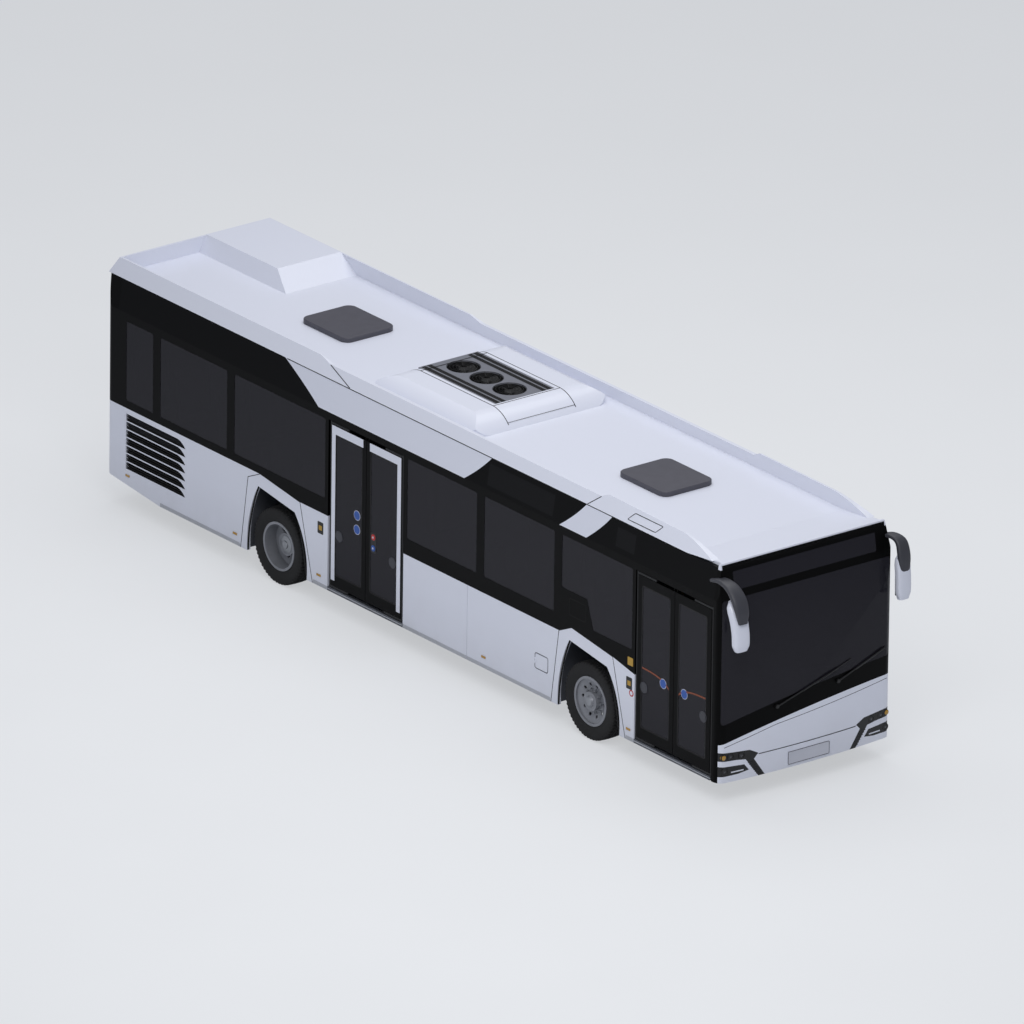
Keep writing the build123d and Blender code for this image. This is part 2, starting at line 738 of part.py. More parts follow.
def tail_lamp_bores(depth):
    """Round tail lamps on both rear corners, to a depth behind the surface."""
    lamps = []
    for x, z in TAIL_LAMPS:
        lamp = Plane.XZ.offset(-st(REAR_SPLIT)) * Pos(x, z) * Circle(TAIL_LAMP_R)
        lamps += mirrored(extrude(lamp, -REAR_MODULE - 10))
    return fused(lamps) & (envelope(-1, ROOF_T, SKIRT_Z) - envelope(depth, ROOF_T, 0))


def rear_panel(shell):
    """White lower rear with the engine flap's opening."""
    panel = rear_zone(shell) & block(
        (-FAR, FAR), (REAR_SPLIT, BODY_LENGTH + 10), (SKIRT_Z - 1, REAR_WHITE_Z))
    panel = panel - flap_zone(0) - tail_lamp_bores(30)
    for hinge in FLAP_HINGES:
        for i in (-1, 1):
            panel += flap_strap(hinge, i, (3, STRAP))
        panel += hinge.fixed()
        panel -= hinge.middle_room()
    return panel


def flap_strap(hinge, i, rise):
    """Strap of an engine flap hinge beside one knuckle, above or below its axis."""
    middle = hinge.centre.X + i * hinge.third
    x = (middle - 0.4 * hinge.third, middle + 0.4 * hinge.third)
    z = sorted(hinge.centre.Z + r for r in rise)
    return block(x, (BODY_LENGTH - 14, BODY_LENGTH + 3), z)


def engine_flap(shell):
    """Flap over the engine, hung at its upper edge."""
    flap = rear_zone(shell) & flap_zone(FLAP_GAP)
    for hinge in FLAP_HINGES:
        flap += flap_strap(hinge, 0, (-STRAP, 0))
        flap -= hinge.fixed(CLEAR)
        flap += hinge.turning()
    return flap


def red_lamps():
    return tail_lamp_bores(30) & envelope(2, ROOF_T, SKIRT_Z)


def roof(shell):
    """Roof deck with the hatch openings, and the front cap."""
    deck = shell & roof_zone()
    cap = front_zone(shell) & cap_zone()
    deck = deck + cap
    for s in HATCH_S:
        x = (-HATCH_HOLE[0] / 2, HATCH_HOLE[0] / 2)
        span = (s - HATCH_HOLE[1] / 2, s + HATCH_HOLE[1] / 2)
        deck -= block(x, span, (CEILING_Z - 5, DECK_Z + 5))
        for hinge in hatch_hinges(s):
            for i in (-1, 1):
                deck += hatch_strap(hinge, i, (-6, 6), (-HATCH_HINGE[1] - CLEAR, 0))
            deck += hinge.fixed()
    return deck


HATCH_HINGE = (9.0, 8.0, 7.0)       # axis behind the lid, above its foot, knuckle radius


def hatch_hinges(s):
    back, rise, radius = HATCH_HINGE
    y, z = st(s + HATCH_SIZE[1] / 2 + back), DECK_Z + CLEAR + rise
    return [Hinge((x, y, z), (1, 0, 0), 90, radius) for x in (-180, 180)]


def hatch_strap(hinge, i, along, rise):
    """Block that ties one knuckle of a hatch hinge to the deck or the lid."""
    middle = hinge.centre.X + i * hinge.third
    x = (middle - 0.4 * hinge.third, middle + 0.4 * hinge.third)
    s = [hinge.centre.Y - FRONT_Y + a for a in along]
    return block(x, s, [hinge.centre.Z + r for r in rise])


def fairing_profile():
    """Upper edge of the parapets in side view: tall at the rear, then lower."""
    tall, low = DECK_Z + PARAPET_REAR_H, DECK_Z + PARAPET_MID_H
    rear = BODY_LENGTH - PARAPET_REAR_INSET
    knee = (st(FRONT_FAIRING_KNEE), tall - 15)
    tip = (st(FRONT_FAIRING_TIP), DECK_Z)
    bow = (st(FRONT_FAIRING_KNEE * 0.62 + FRONT_FAIRING_TIP * 0.38), DECK_Z + PARAPET_REAR_H * 0.66)
    s2 = FRONT_FAIRING_S + 2 * FRONT_FAIRING_STEP
    edges = [
        (st(FRONT_FAIRING_S - FRONT_FAIRING_STEP), tall), (st(FRONT_FAIRING_S), low), (st(s2), low),
        (st(REAR_FAIRING_END - REAR_FAIRING_DROP), low), (st(REAR_FAIRING_END), tall),
        (st(rear), tall), (st(BODY_LENGTH - REAR_LEAN), DECK_Z), tip,
    ]
    outline = ThreePointArc(tip, bow, knee) + Polyline(knee, *edges)
    return make_face(outline)


def parapet(side):
    """Leaning fairing along one roof edge."""
    base = HALF - CANTRAIL_LEAN
    top = base - PARAPET_LEAN
    height = PARAPET_REAR_H
    inner = top - PARAPET_T
    section = [(base, DECK_Z), (top, DECK_Z + height), (inner, DECK_Z + height), (inner, DECK_Z)]
    face = make_face(Polyline(*[(side * x, z) for x, z in section], close=True))
    length = front_prism(face, FRONT_FAIRING_TIP - 20, BODY_LENGTH)
    return (length & side_prism(fairing_profile(), -FAR, FAR)) - envelope(0, 0, SKIRT_Z)


def rear_parapet():
    """Fairing across the rear, between the two side fairings."""
    top = DECK_Z + PARAPET_REAR_H
    inner = HALF - CANTRAIL_LEAN - PARAPET_LEAN - PARAPET_T
    outer = envelope(0, 0, SKIRT_Z)
    end = BODY_LENGTH - PARAPET_REAR_INSET
    points = [(end - 30, DECK_Z), (BODY_LENGTH - REAR_LEAN - 5, DECK_Z), (end, top), (end - 30, top)]
    wall = side_prism(side_face(points), -inner, inner)
    plan = extrude(Plane.XY.offset(DECK_Z) * plan_outline(REAR_LEAN), FAR)
    return wall & plan


def roof_pod():
    """Raised cover over the rear driver's side, sloped to the front and aisle."""
    x_out = HALF - CANTRAIL_LEAN - PARAPET_LEAN - PARAPET_T
    rear = BODY_LENGTH - PARAPET_REAR_INSET - 30
    low = Plane.XY.offset(DECK_Z) * rectangle((POD_X[0], x_out), (POD_S[0], rear))
    high = Plane.XY.offset(DECK_Z + POD_H) * rectangle((POD_X[1], x_out), (POD_S[1], rear))
    return loft([low.faces()[0], high.faces()[0]])


def rectangle(x, s):
    centre = ((x[0] + x[1]) / 2, st((s[0] + s[1]) / 2))
    return Pos(*centre) * Rectangle(x[1] - x[0], s[1] - s[0])


def roof_covers():
    """Fairings along both roof edges and the rear, with the raised rear cover."""
    return fused([parapet(-1), parapet(1), rear_parapet(), roof_pod()])


def ac_housing():
    """Air conditioner on the roof: rounded shoulders, sloping ends, fan wells."""
    base, lid, top = AC_HALF, AC_LID_HALF, DECK_Z + AC_TOP
    shoulder = (base - 0.22 * (base - lid), DECK_Z + 0.64 * AC_TOP)
    outline = (
        Line((-base, DECK_Z), (base, DECK_Z))
        + ThreePointArc((base, DECK_Z), shoulder, (lid, top))
        + Line((lid, top), (-lid, top))
        + ThreePointArc((-lid, top), (-shoulder[0], shoulder[1]), (-base, DECK_Z))
    )
    body = front_prism(make_face(outline), *AC_S)
    s0, s1 = AC_S
    rise = 0.62 * AC_TOP
    ends = (
        Line((st(s0), DECK_Z), (st(s1), DECK_Z))
        + ThreePointArc((st(s1), DECK_Z), (st(s1 - 0.35 * AC_SLOPE), DECK_Z + rise),
                        (st(s1 - AC_SLOPE), top))
        + Line((st(s1 - AC_SLOPE), top), (st(s0 + AC_SLOPE), top))
        + ThreePointArc((st(s0 + AC_SLOPE), top), (st(s0 + 0.35 * AC_SLOPE), DECK_Z + rise),
                        (st(s0), DECK_Z))
    )
    body &= side_prism(make_face(ends), -FAR, FAR)
    plan = Pos(0, st((s0 + s1) / 2)) * RectangleRounded(2 * base, s1 - s0, AC_CORNER_R)
    body &= extrude(Plane.XY.offset(DECK_Z) * plan, AC_TOP)
    body -= ac_recess(0)
    for s in fan_stations():
        body -= Pos(0, st(s), top - FAN_DEPTH / 2) * Cylinder(FAN_R, FAN_DEPTH)
    return body


def ac_centre():
    return (AC_S[0] + AC_S[1]) / 2 + 73


def fan_stations():
    return [ac_centre() + i * FAN_PITCH for i in (-1, 0, 1)]


def ac_recess(gap):
    width, length = AC_PLATE
    x = (-width / 2 + gap, width / 2 - gap)
    s = (ac_centre() - length / 2 + gap, ac_centre() + length / 2 - gap)
    return block(x, s, (DECK_Z + AC_TOP - AC_RECESS, DECK_Z + AC_TOP + gap))


def ac_grille():
    """Plate over the condenser with three fan holes and ribbed side strips."""
    plate = ac_recess(0) & block((-FAR, FAR), (0, BODY_LENGTH), (0, DECK_Z + AC_TOP - 4))
    for s in fan_stations():
        plate -= Pos(0, st(s), DECK_Z + AC_TOP) * Cylinder(FAN_R, 4 * AC_RECESS)
    for side in SIDES:
        for x in (300.0, 378.0):
            span = (ac_centre() - AC_PLATE[1] / 2 + 40, ac_centre() + AC_PLATE[1] / 2 - 90)
            edge = sorted((side * (x - 22), side * (x + 22)))
            plate -= block(edge, span, (DECK_Z + AC_TOP - AC_RECESS / 2, FAR))
    return plate


FAN_BLADES = 5
FAN_HUB_R = 62.0


def fan_rotor(s):
    """Axial fan: hub and pitched blades that stand on the well's floor."""
    floor = DECK_Z + AC_TOP - FAN_DEPTH
    hub_h = 56.0
    rotor = Pos(0, 0, floor + CLEAR + hub_h / 2) * Cylinder(FAN_HUB_R, hub_h)
    reach = FAN_R - FAN_CLEAR
    blade = Pos((FAN_HUB_R + reach) / 2 - 6, 0, floor + 36) * Rot(28, 0, 0) * Box(
        reach - FAN_HUB_R - 2, 88, 5)
    for i in range(FAN_BLADES):
        rotor += Rot(0, 0, 360 * i / FAN_BLADES) * blade
    limit = Pos(0, 0, floor + CLEAR + FAN_DEPTH / 2) * Cylinder(reach, FAN_DEPTH)
    return Pos(0, st(s), 0) * (rotor & limit)


def hatch(s):
    """Roof hatch lid with rounded corners and a bevelled edge."""
    lid = extrude(RectangleRounded(*HATCH_SIZE, HATCH_R), HATCH_T)
    lid = Pos(0, st(s), DECK_Z + CLEAR) * chamfer(lid.faces().sort_by(Axis.Z)[-1].edges(), 8)
    for hinge in hatch_hinges(s):
        tie = hatch_strap(hinge, 0, (-HATCH_HINGE[0] - 4, 0), (-4, 4))
        lid += tie - hinge.fixed(CLEAR) + hinge.turning()
    return lid


# Running gear
RAIL_X = 430.0
RAIL_LOW = 200.0
RAIL_TOP = 240.0
RAIL_GAP = 100.0            # the rails stop this far from the front axle
REAR_RAIL_GAP = 140.0
CROSS_REACH = 1050.0
RISER_T = 40.0
LINING_H = 270.0
JACK_S = (FRONT_AXLE_S + 420.0, REAR_AXLE_S - 460.0)
JACK_T = 10.0
FRONT_LUG_S = 640.0
LUG_T = 30.0
LUG_R = 42.0
LUG_BORE_R = 20.0
LUG_Z = (170.0, 236.0)      # eyes of the front and the rear lug, below the skirts' edge
AXLE_DROP_Z = 225.0
AXLE_HALF = 38.0


def tyre(x, s):
    """Tyre with bulged walls, bevelled shoulders and a flat tread band."""
    half, bead, seat = TYRE_W / 2, RIM_R + CLEAR, RIM_HALF - CLEAR
    flange = RIM_FLANGE_R + 4
    wall = [(seat, bead), (seat, flange), (half, bead + 0.5 * (TYRE_R - bead)),
            (0.9 * half, TYRE_R - 18), (0.72 * half, TYRE_R)]
    points = wall + [(-x_out, r) for x_out, r in reversed(wall)]
    ring = revolve(Plane.XZ * make_face(Polyline(*points, close=True)), Axis.X, 360)
    return Pos(x, st(s), TYRE_R) * ring


def rim_profile(disc_x):
    """Half-section of a wheel: flanged barrel and dished disc, as X and radius."""
    half, lip = RIM_HALF, RIM_HALF + 12
    inner = RIM_R - RIM_T
    points = [
        (-lip, RIM_FLANGE_R), (-half, RIM_FLANGE_R), (-half, RIM_R), (half, RIM_R),
        (half, RIM_FLANGE_R), (lip, RIM_FLANGE_R), (lip, inner), (disc_x + 36, inner),
        (disc_x, 0.62 * inner), (disc_x, 95), (disc_x - 16, 95), (disc_x - 16, 0.62 * inner - 6),
        (disc_x + 16, inner - 4), (-lip, inner),
    ]
    return make_face(Polyline(*points, close=True))


def hand_holes(disc_x):
    """Round holes through the disc's cone."""
    holes = []
    for i in range(HAND_HOLES):
        angle = 360 * (i + 0.5) / HAND_HOLES
        hole = Pos(disc_x, 0, HAND_HOLE_AT) * Rot(0, 90, 0) * Cylinder(HAND_HOLE_R, 120)
        holes.append(Rot(angle, 0, 0) * hole)
    return fused(holes)


def wheel_disc(disc_x):
    """Turned wheel with its hand holes."""
    return revolve(Plane.XZ * rim_profile(disc_x), Axis.X, 360) - hand_holes(disc_x)


def hub_ring(x, radius):
    """Solid hub drum between two X, about the wheel's axis."""
    return Pos((x[0] + x[1]) / 2, 0, 0) * Rot(0, 90, 0) * Cylinder(radius, x[1] - x[0])


FRONT_DISC_X = 60.0
FRONT_HUB = (-32.0, 124.0)
REAR_DISC_X = -88.0
REAR_HUB = (-2.0 * TWIN_SPACING + 2 * 170.0, 10.0)


def front_rim(side):
    """Front wheel with its hub, whose cap stands out to the tyre's face."""
    rim = wheel_disc(FRONT_DISC_X) + hub_ring(FRONT_HUB, 118)
    rim += Pos(FRONT_HUB[1] + 8, 0, 0) * Rot(0, 90, 0) * Cone(72, 62, 16)
    rim -= hub_ring((FRONT_HUB[0] - 10, STUB_END_X - WHEEL_X + 10), STUB_R + FIT)
    return place_wheel(rim, side, WHEEL_X, FRONT_AXLE_S)


def rear_rims(side):
    """Twin rear wheels on one hub: the outer dish is deep."""
    inner_disc = Rot(0, 0, 180) * wheel_disc(REAR_DISC_X)
    rims = wheel_disc(REAR_DISC_X) + hub_ring(REAR_HUB, 140) + Pos(-TWIN_SPACING, 0, 0) * inner_disc
    rims -= hub_ring((REAR_HUB[0] - 10, REAR_HUB[1] - 20), REAR_STUB_R + FIT)
    return place_wheel(rims, side, WHEEL_X, REAR_AXLE_S)


def place_wheel(wheel, side, x, s):
    """Wheel built for the driver's side, turned to face out and placed."""
    turn = 0 if side > 0 else 180
    return Pos(side * x, st(s), TYRE_R) * Rot(0, 0, turn) * wheel


def rear_tyres(side):
    return fused([tyre(side * WHEEL_X, REAR_AXLE_S),
                  tyre(side * (WHEEL_X - TWIN_SPACING), REAR_AXLE_S)])


STUB_END_X = 1190.0
EYE_R = 56.0
EYE_HALF = 62.0


def knuckle(side):
    """Steering knuckle: forked ears on the kingpin, stub axle, brake disc and track arm."""
    ear_z = EYE_HALF + 6 + 17
    part = Cylinder(KINGPIN_R, 2 * ear_z + 30)
    for z in (-ear_z, ear_z):
        part += Pos(0, 0, z) * Cylinder(EYE_R - 6, 34) + Pos(40, 0, z) * Box(80, 100, 34)
    part += Pos(76, 0, 0) * Box(24, 100, 2 * ear_z + 34)
    part += hub_ring((80, STUB_END_X - KINGPIN_X), STUB_R) + hub_ring((94, 118), 165)
    part += Pos(0, 120, -ear_z) * Box(44, 180, 30)
    if side < 0:
        part = mirror(part, Plane.YZ)
    return Pos(side * KINGPIN_X, st(FRONT_AXLE_S), TYRE_R) * part


def front_beam():
    """Dropped beam that passes under the floor, with the kingpin eyes."""
    y = st(FRONT_AXLE_S)
    eye_x = KINGPIN_X
    top, bottom = TYRE_R + EYE_HALF, TYRE_R - EYE_HALF
    half = [(eye_x, bottom), (eye_x, top), (eye_x - 70, top), (640, AXLE_DROP_Z + AXLE_HALF)]
    under = [(600, AXLE_DROP_Z - AXLE_HALF), (eye_x - 90, bottom)]
    points = half + [(-x, z) for x, z in reversed(half)] + [(-x, z) for x, z in reversed(under)] + under
    beam = front_prism(make_face(Polyline(*points, close=True)), FRONT_AXLE_S - 45, FRONT_AXLE_S + 45)
    for side in SIDES:
        beam += Pos(side * eye_x, y, TYRE_R) * Cylinder(EYE_R, 2 * EYE_HALF)
        beam -= Pos(side * eye_x, y, TYRE_R) * Cylinder(KINGPIN_R + FIT, 200)
    return beam


PORTAL_X = (548.0, 632.0)
DIFF_R = 112.0
DIFF_X = 170.0


def rear_axle():
    """Portal axle: low centre beam, differential and raised hub carriers."""
    y = st(REAR_AXLE_S)
    beam = block((-PORTAL_X[1], PORTAL_X[1]), (REAR_AXLE_S - 80, REAR_AXLE_S + 80),
                 (AXLE_DROP_Z - AXLE_HALF, AXLE_DROP_Z + AXLE_HALF))
    housing = Pos(DIFF_X, y, AXLE_DROP_Z) * Rot(0, 90, 0) * Cylinder(DIFF_R, 190)
    axle = beam + housing
    for side in SIDES:
        x = sorted((side * PORTAL_X[0], side * PORTAL_X[1]))
        axle += block(x, (REAR_AXLE_S - 120, REAR_AXLE_S + 120), (AXLE_DROP_Z - AXLE_HALF, TYRE_R + 120))
        reach = (PORTAL_X[1], WHEEL_X - 30)
        length = reach[1] - reach[0]
        axle += Pos(side * (reach[0] + length / 2), y, TYRE_R) * Rot(0, 90, 0) * Cylinder(
            REAR_STUB_R, length)
    return axle


def guide_arms(axle_s, half, ends):
    """Arms from a beam to the ends of the frame rails ahead of it and behind it."""
    arms = []
    for x in (-RAIL_X, RAIL_X):
        for end in ends:
            edge = half if end > 0 else -half
            span = sorted((axle_s + edge, axle_s + end))
            arms.append(block((x - 30, x + 30), span, (RAIL_LOW + 5, RAIL_TOP - 5)))
    return arms


def axles():
    """Front beam and rear portal axle with their guide arms."""
    front = fused([front_beam()] + guide_arms(FRONT_AXLE_S, 45, (-RAIL_GAP, RAIL_GAP)))
    rear = fused([rear_axle()] + guide_arms(REAR_AXLE_S, 80, (-REAR_RAIL_GAP,)))
    return separate([front, rear])


ENGINE_S = (PODIUM_S + 1000.0, BODY_LENGTH - 440.0)
ENGINE_HALF = 480.0
ENGINE_Z = (REAR_FLOOR_Z, 980.0)
GEARBOX_S = PODIUM_S + 400.0
SHAFT_Z = 300.0


def engine():
    """Engine block and the radiator that stands behind the louvres."""
    block_ = block((-ENGINE_HALF, ENGINE_HALF), ENGINE_S, ENGINE_Z)
    radiator = block((-HALF + 85, -HALF + 165), (ENGINE_S[0] + 100, ENGINE_S[1] - 30), ENGINE_Z)
    return separate([block_, radiator])


def driveline():
    """Gearbox on the engine's front and the shaft down to the differential."""
    front = GEARBOX_S
    points = [(front, SHAFT_Z - 80), (front + 180, SHAFT_Z - 80), (front + 220, ENGINE_Z[0]),
              (ENGINE_S[0], ENGINE_Z[0]), (ENGINE_S[0], 900), (front + 160, 820), (front, 520)]
    box = side_prism(side_face(points), DIFF_X - 190, DIFF_X + 190)
    start, end = (DIFF_X, st(front), SHAFT_Z), (DIFF_X, st(REAR_AXLE_S + DIFF_R - 10), AXLE_DROP_Z + 20)
    bell = rod(start, (DIFF_X, st(front - 70), SHAFT_Z - 4), 70)
    return box + bell + (rod(start, end, 45) - rear_axle())


def underframe():
    """Ladder frame: rails with cross-members on them, bearers under the engine."""
    top = FLOOR_Z - FLOOR_T
    pieces = []
    for x in (-RAIL_X, RAIL_X):
        for span in ((260, FRONT_AXLE_S - RAIL_GAP), (FRONT_AXLE_S + RAIL_GAP, REAR_AXLE_S - REAR_RAIL_GAP)):
            pieces.append(block((x - 40, x + 40), span, (RAIL_LOW, RAIL_TOP)))
        for s in JACK_S:
            pieces.append(block((x - 60, x + 60), (s - 60, s + 60), (RAIL_LOW - JACK_T, RAIL_LOW)))
    for s in cross_stations():
        pieces.append(block((-CROSS_REACH, CROSS_REACH), (s - 30, s + 30), (RAIL_TOP, top)))
    low, high = REAR_FLOOR_Z - FLOOR_T, REAR_FLOOR_Z - FLOOR_T / 2
    bearer, reach = ENGINE_HALF + 60, HALF - WALL
    for x in (-bearer, bearer):
        pieces.append(block((x - 40, x + 40), (PODIUM_S + RISER_T, ENGINE_S[1] + 100), (low, high)))
    for s in (PODIUM_S + 120, ENGINE_S[0] + 150, ENGINE_S[1] - 150):
        pieces.append(block((-reach, reach), (s - 30, s + 30), (high, REAR_FLOOR_Z)))
    lugs = [lug(FRONT_LUG_S, LUG_Z[0], RAIL_TOP), lug(ENGINE_S[0] + 150, LUG_Z[1], high)]
    return separate(pieces + lugs)


def cross_stations():
    """Stations of the cross-members, evenly spaced between the axles."""
    first, last = FRONT_AXLE_S + BOX_HALF + 320, RAMP_S - 215
    ahead = [420, FRONT_LUG_S, FRONT_AXLE_S - BOX_HALF - 240]
    return ahead + [first + i * (last - first) / 4 for i in range(5)]


def lug(s, eye_z, top):
    """Rounded towing lug under a cross-member, bored across for a shackle."""
    plate = block((-LUG_T / 2, LUG_T / 2), (s - LUG_R, s + LUG_R), (eye_z, top))
    eye = (0, st(s), eye_z)
    plate += barrel(eye, (1, 0, 0), LUG_T, LUG_R)
    return plate - barrel(eye, (1, 0, 0), 3 * LUG_T, LUG_BORE_R)


def wheel_box(side, s, inner_x):
    """Plates of the box over a wheel, open below and to the side."""
    low, high, wall = FLOOR_Z - FLOOR_T, BOX_TOP_Z - BOX_T, HALF - WALL
    inner = sorted((side * inner_x, side * (inner_x + BOX_T)))
    across = sorted((side * (inner_x + BOX_T), side * wall))
    ends = [(s - BOX_HALF, s - BOX_HALF + BOX_T), (s + BOX_HALF - BOX_T, s + BOX_HALF)]
    plates = [block(inner, (s - BOX_HALF, s + BOX_HALF), (low, high))]
    plates += [block(across, end, (low, high)) for end in ends]
    lid = sorted((side * inner_x, side * wall))
    return plates + [block(lid, (s - BOX_HALF, s + BOX_HALF), (high, BOX_TOP_Z))]


def box_room(side, s, inner_x):
    """Whole room of a wheel box, which the floor panels leave open."""
    x = sorted((side * inner_x, side * (HALF + 1)))
    return block(x, (s - BOX_HALF, s + BOX_HALF), (0, BOX_TOP_Z))


def floor():
    """Floor panels with door sills, the ramp, the wheel boxes and the podium."""
    inner, low, rear_low = HALF - WALL, FLOOR_Z - FLOOR_T, REAR_FLOOR_Z - FLOOR_T
    front = WALL + END_BULGE + CORNER_R
    ramp_end = RAMP_S + RAMP_LENGTH
    panel = block((-inner, inner), (front, RAMP_S), (low, FLOOR_Z))
    for start, width in ((DOOR1_S, DOOR1_W), (DOOR2_S, DOOR2_W)):
        panel += block((-HALF, -inner + 1), (max(start, front), start + width), (low, FLOOR_Z))
    slope = side_face([(RAMP_S, low), (RAMP_S, FLOOR_Z), (ramp_end, REAR_FLOOR_Z), (ramp_end, rear_low)])
    panels = [panel, side_prism(slope, -inner, inner),
              block((-inner, inner), (ramp_end, PODIUM_S), (rear_low, REAR_FLOOR_Z))]
    plates = []
    for side in SIDES:
        for place in ((side, FRONT_AXLE_S, FRONT_BOX_X), (side, REAR_AXLE_S, REAR_BOX_X)):
            panels = [piece - box_room(*place) for piece in panels]
            plates += wheel_box(*place)
    return separate(panels + plates + podium())


def podium():
    """Raised floor over the engine, its riser and step, and the lining of the louvres."""
    inner, low = HALF - WALL, REAR_FLOOR_Z - FLOOR_T
    width, length, height = STEP_SIZE
    top = block((-inner, inner), (PODIUM_S, REAR_SPLIT), (PODIUM_Z - FLOOR_T, PODIUM_Z))
    riser = block((-inner, inner), (PODIUM_S, PODIUM_S + RISER_T), (low, PODIUM_Z - FLOOR_T))
    step = block((-width / 2, width / 2), (PODIUM_S - length, PODIUM_S),
                 (REAR_FLOOR_Z, REAR_FLOOR_Z + height))
    lining = block((-inner, -inner + BOX_T), (LOUVRE_S[0] - 30, LOUVRE_S[1] + 30),
                   (PODIUM_Z, PODIUM_Z + LINING_H))
    return [top, riser, step, lining]


SEAT_PITCH = 800.0
PODIUM_PITCH = 805.0
SEAT_W = 880.0


def seat_pair(side, s, floor_z):
    """Double seat facing forward: shaped shell, back and one wall-side leg."""
    z = floor_z
    rear = st(s)
    points = [(0, 430), (-430, 450), (-440, 400), (-60, 370), (50, 380), (170, 1010),
              (110, 1030), (20, 480)]
    face = make_face(Polyline(*[(rear + y, z + h) for y, h in points], close=True))
    wall = HALF - WALL - CLEAR
    x = sorted((side * wall, side * (wall - SEAT_W)))
    shell = side_prism(face, *x)
    slot = (wall - SEAT_W / 2) * side
    shell -= block((slot - 12, slot + 12), (s - 450, s + 200), (z + 560, z + 1100))
    leg_x = sorted((side * (wall - 560), side * (wall - 500)))
    return shell + block(leg_x, (s - 240, s - 160), (z, z + 410))


def rows(first, last, pitch):
    """Seat stations from the first row on, as many as the length holds."""
    return [first + i * pitch for i in range(int((last - first) / pitch) + 1)]


def passenger_seats():
    """Seat pairs on the low floor, one fewer on the door side, and on the podium."""
    seats = []
    for i, s in enumerate(rows(FRONT_AXLE_S + BOX_HALF + 440, DOOR2_S - 860, SEAT_PITCH)):
        seats += [seat_pair(side, s, FLOOR_Z) for side in SIDES if side > 0 or i > 0]
    for s in rows(PODIUM_S + 420, REAR_SPLIT - 360, PODIUM_PITCH):
        seats += [seat_pair(side, s, PODIUM_Z) for side in SIDES]
    return separate(seats)


POLE_R = 17.0
POLE_X = 330.0
POLE_S = (FRONT_AXLE_S - 590, FRONT_AXLE_S + 1340, DOOR2_S - 335, DOOR2_S + DOOR2_W + 5)


def handrails():
    """Upright grab poles and two rails under the ceiling."""
    rails = []
    z = CEILING_Z - 420
    for side in SIDES:
        x = side * POLE_X
        rails.append(rod((x, st(POLE_S[0] - 40), z), (x, st(POLE_S[-1] + 40), z), POLE_R))
        for s in POLE_S:
            rails.append(rod((x, st(s), FLOOR_Z), (x, st(s), CEILING_Z), POLE_R))
    return fused(rails)


DRIVER_X = 680.0
DRIVER_S = 1560.0


def driver_seat():
    """Driver's suspended seat: pedestal, cushion and tall back."""
    x, y = DRIVER_X, st(DRIVER_S)
    cushion = Pos(x, y - 240, FLOOR_Z + 600) * Box(500, 500, 120)
    cushion = fillet(cushion.edges().filter_by(Axis.Z), 60)
    back = Box(480, 110, 720)
    back = fillet(back.edges().filter_by(Axis.Y), 60)
    back = Pos(x, y + 60, FLOOR_Z + 990) * Rot(-10, 0, 0) * back
    pedestal = Pos(x, y - 220, FLOOR_Z + 270) * Box(340, 360, 540)
    return cushion + back + pedestal


def driver_cab():
    """Dashboard with binnacle, steering column and wheel, and the rear partition."""
    inner = HALF - WALL
    points = [(260, FLOOR_Z), (500, FLOOR_Z), (520, 900), (760, 1010), (760, 1080), (560, 1150),
              (260, 1060)]
    dash = side_prism(side_face(points), -350, inner - 60)
    hood = Pos(DRIVER_X, st(620), 1130) * Box(460, 220, 90)
    y, z = st(820), 1130.0
    column = rod((DRIVER_X, st(560), 820), (DRIVER_X, y, z), 32)
    lean = Plane(origin=(DRIVER_X, y, z), z_dir=(0, 0.45, 1))
    wheel = lean * (Torus(225, 16) + Rot(0, 90, 0) * Cylinder(14, 440) + Cylinder(55, 30))
    wall_s = FRONT_AXLE_S - BOX_HALF - 60
    partition = block((260, inner), (wall_s, wall_s + 30), (FLOOR_Z, 2050))
    return fused([dash + hood + column + wheel, partition])


def wiper(pivot_x, tip_x, pivot_z, tip_z):
    """One wiper: arm and blade lying along the screen's curve."""
    reach = front_lean((pivot_z + tip_z) / 2) - 22
    y0 = st(reach + pivot_x**2 * END_BULGE / HALF**2)
    y1 = st(reach + tip_x**2 * END_BULGE / HALF**2)
    arm = rod((pivot_x, y0, pivot_z), (tip_x, y1, tip_z), 9)
    hub = rod((pivot_x, y0 - 8, pivot_z), (pivot_x, y0 + 70, pivot_z), 24)
    return arm + hub


def wipers():
    pair = fused([wiper(-480, 330, 1085, 1330), wiper(420, 1130, 1190, 1420)])
    return pair - envelope(0, 0, SKIRT_Z)


def mirror_arm(side, path):
    """Curved arm swept along points of X, station and Z."""
    spine = Spline(*[(side * x, st(s), z) for x, s, z in path])
    start = Plane(origin=spine @ 0, z_dir=spine % 0)
    return sweep(start * Circle(MIRROR_ARM_R), path=spine)


def mirror_head(side, x, outline):
    """Mirror head: a bent side view, as wide as the glass, with rounded edges."""
    low, high = sorted((side * x[0], side * x[1]))
    head = side_prism(side_face(outline, 34), low, high)
    return fillet(head.faces().filter_by(Axis.X).edges(), 28)


MIRROR_ARM_R = 36.0
DOOR_MIRROR_X = (1116.0, 1344.0)
DOOR_MIRROR = ((-96, 2640), (-250, 2590), (-330, 2440), (-330, 2030), (-212, 2030), (-200, 2400),
               (-150, 2480), (-60, 2560))
DOOR_MIRROR_ARM = ((1205, 300, 2740), (1225, 90, 2752), (1232, -100, 2690), (1230, -222, 2540))
DRIVER_MIRROR_X = (1195.0, 1400.0)
DRIVER_MIRROR = ((-36, 2500), (-140, 2480), (-150, 2050), (-40, 2034), (-18, 2420))
DRIVER_MIRROR_ARM = ((1200, 260, 2720), (1290, 130, 2725), (1330, -10, 2650), (1310, -84, 2440))


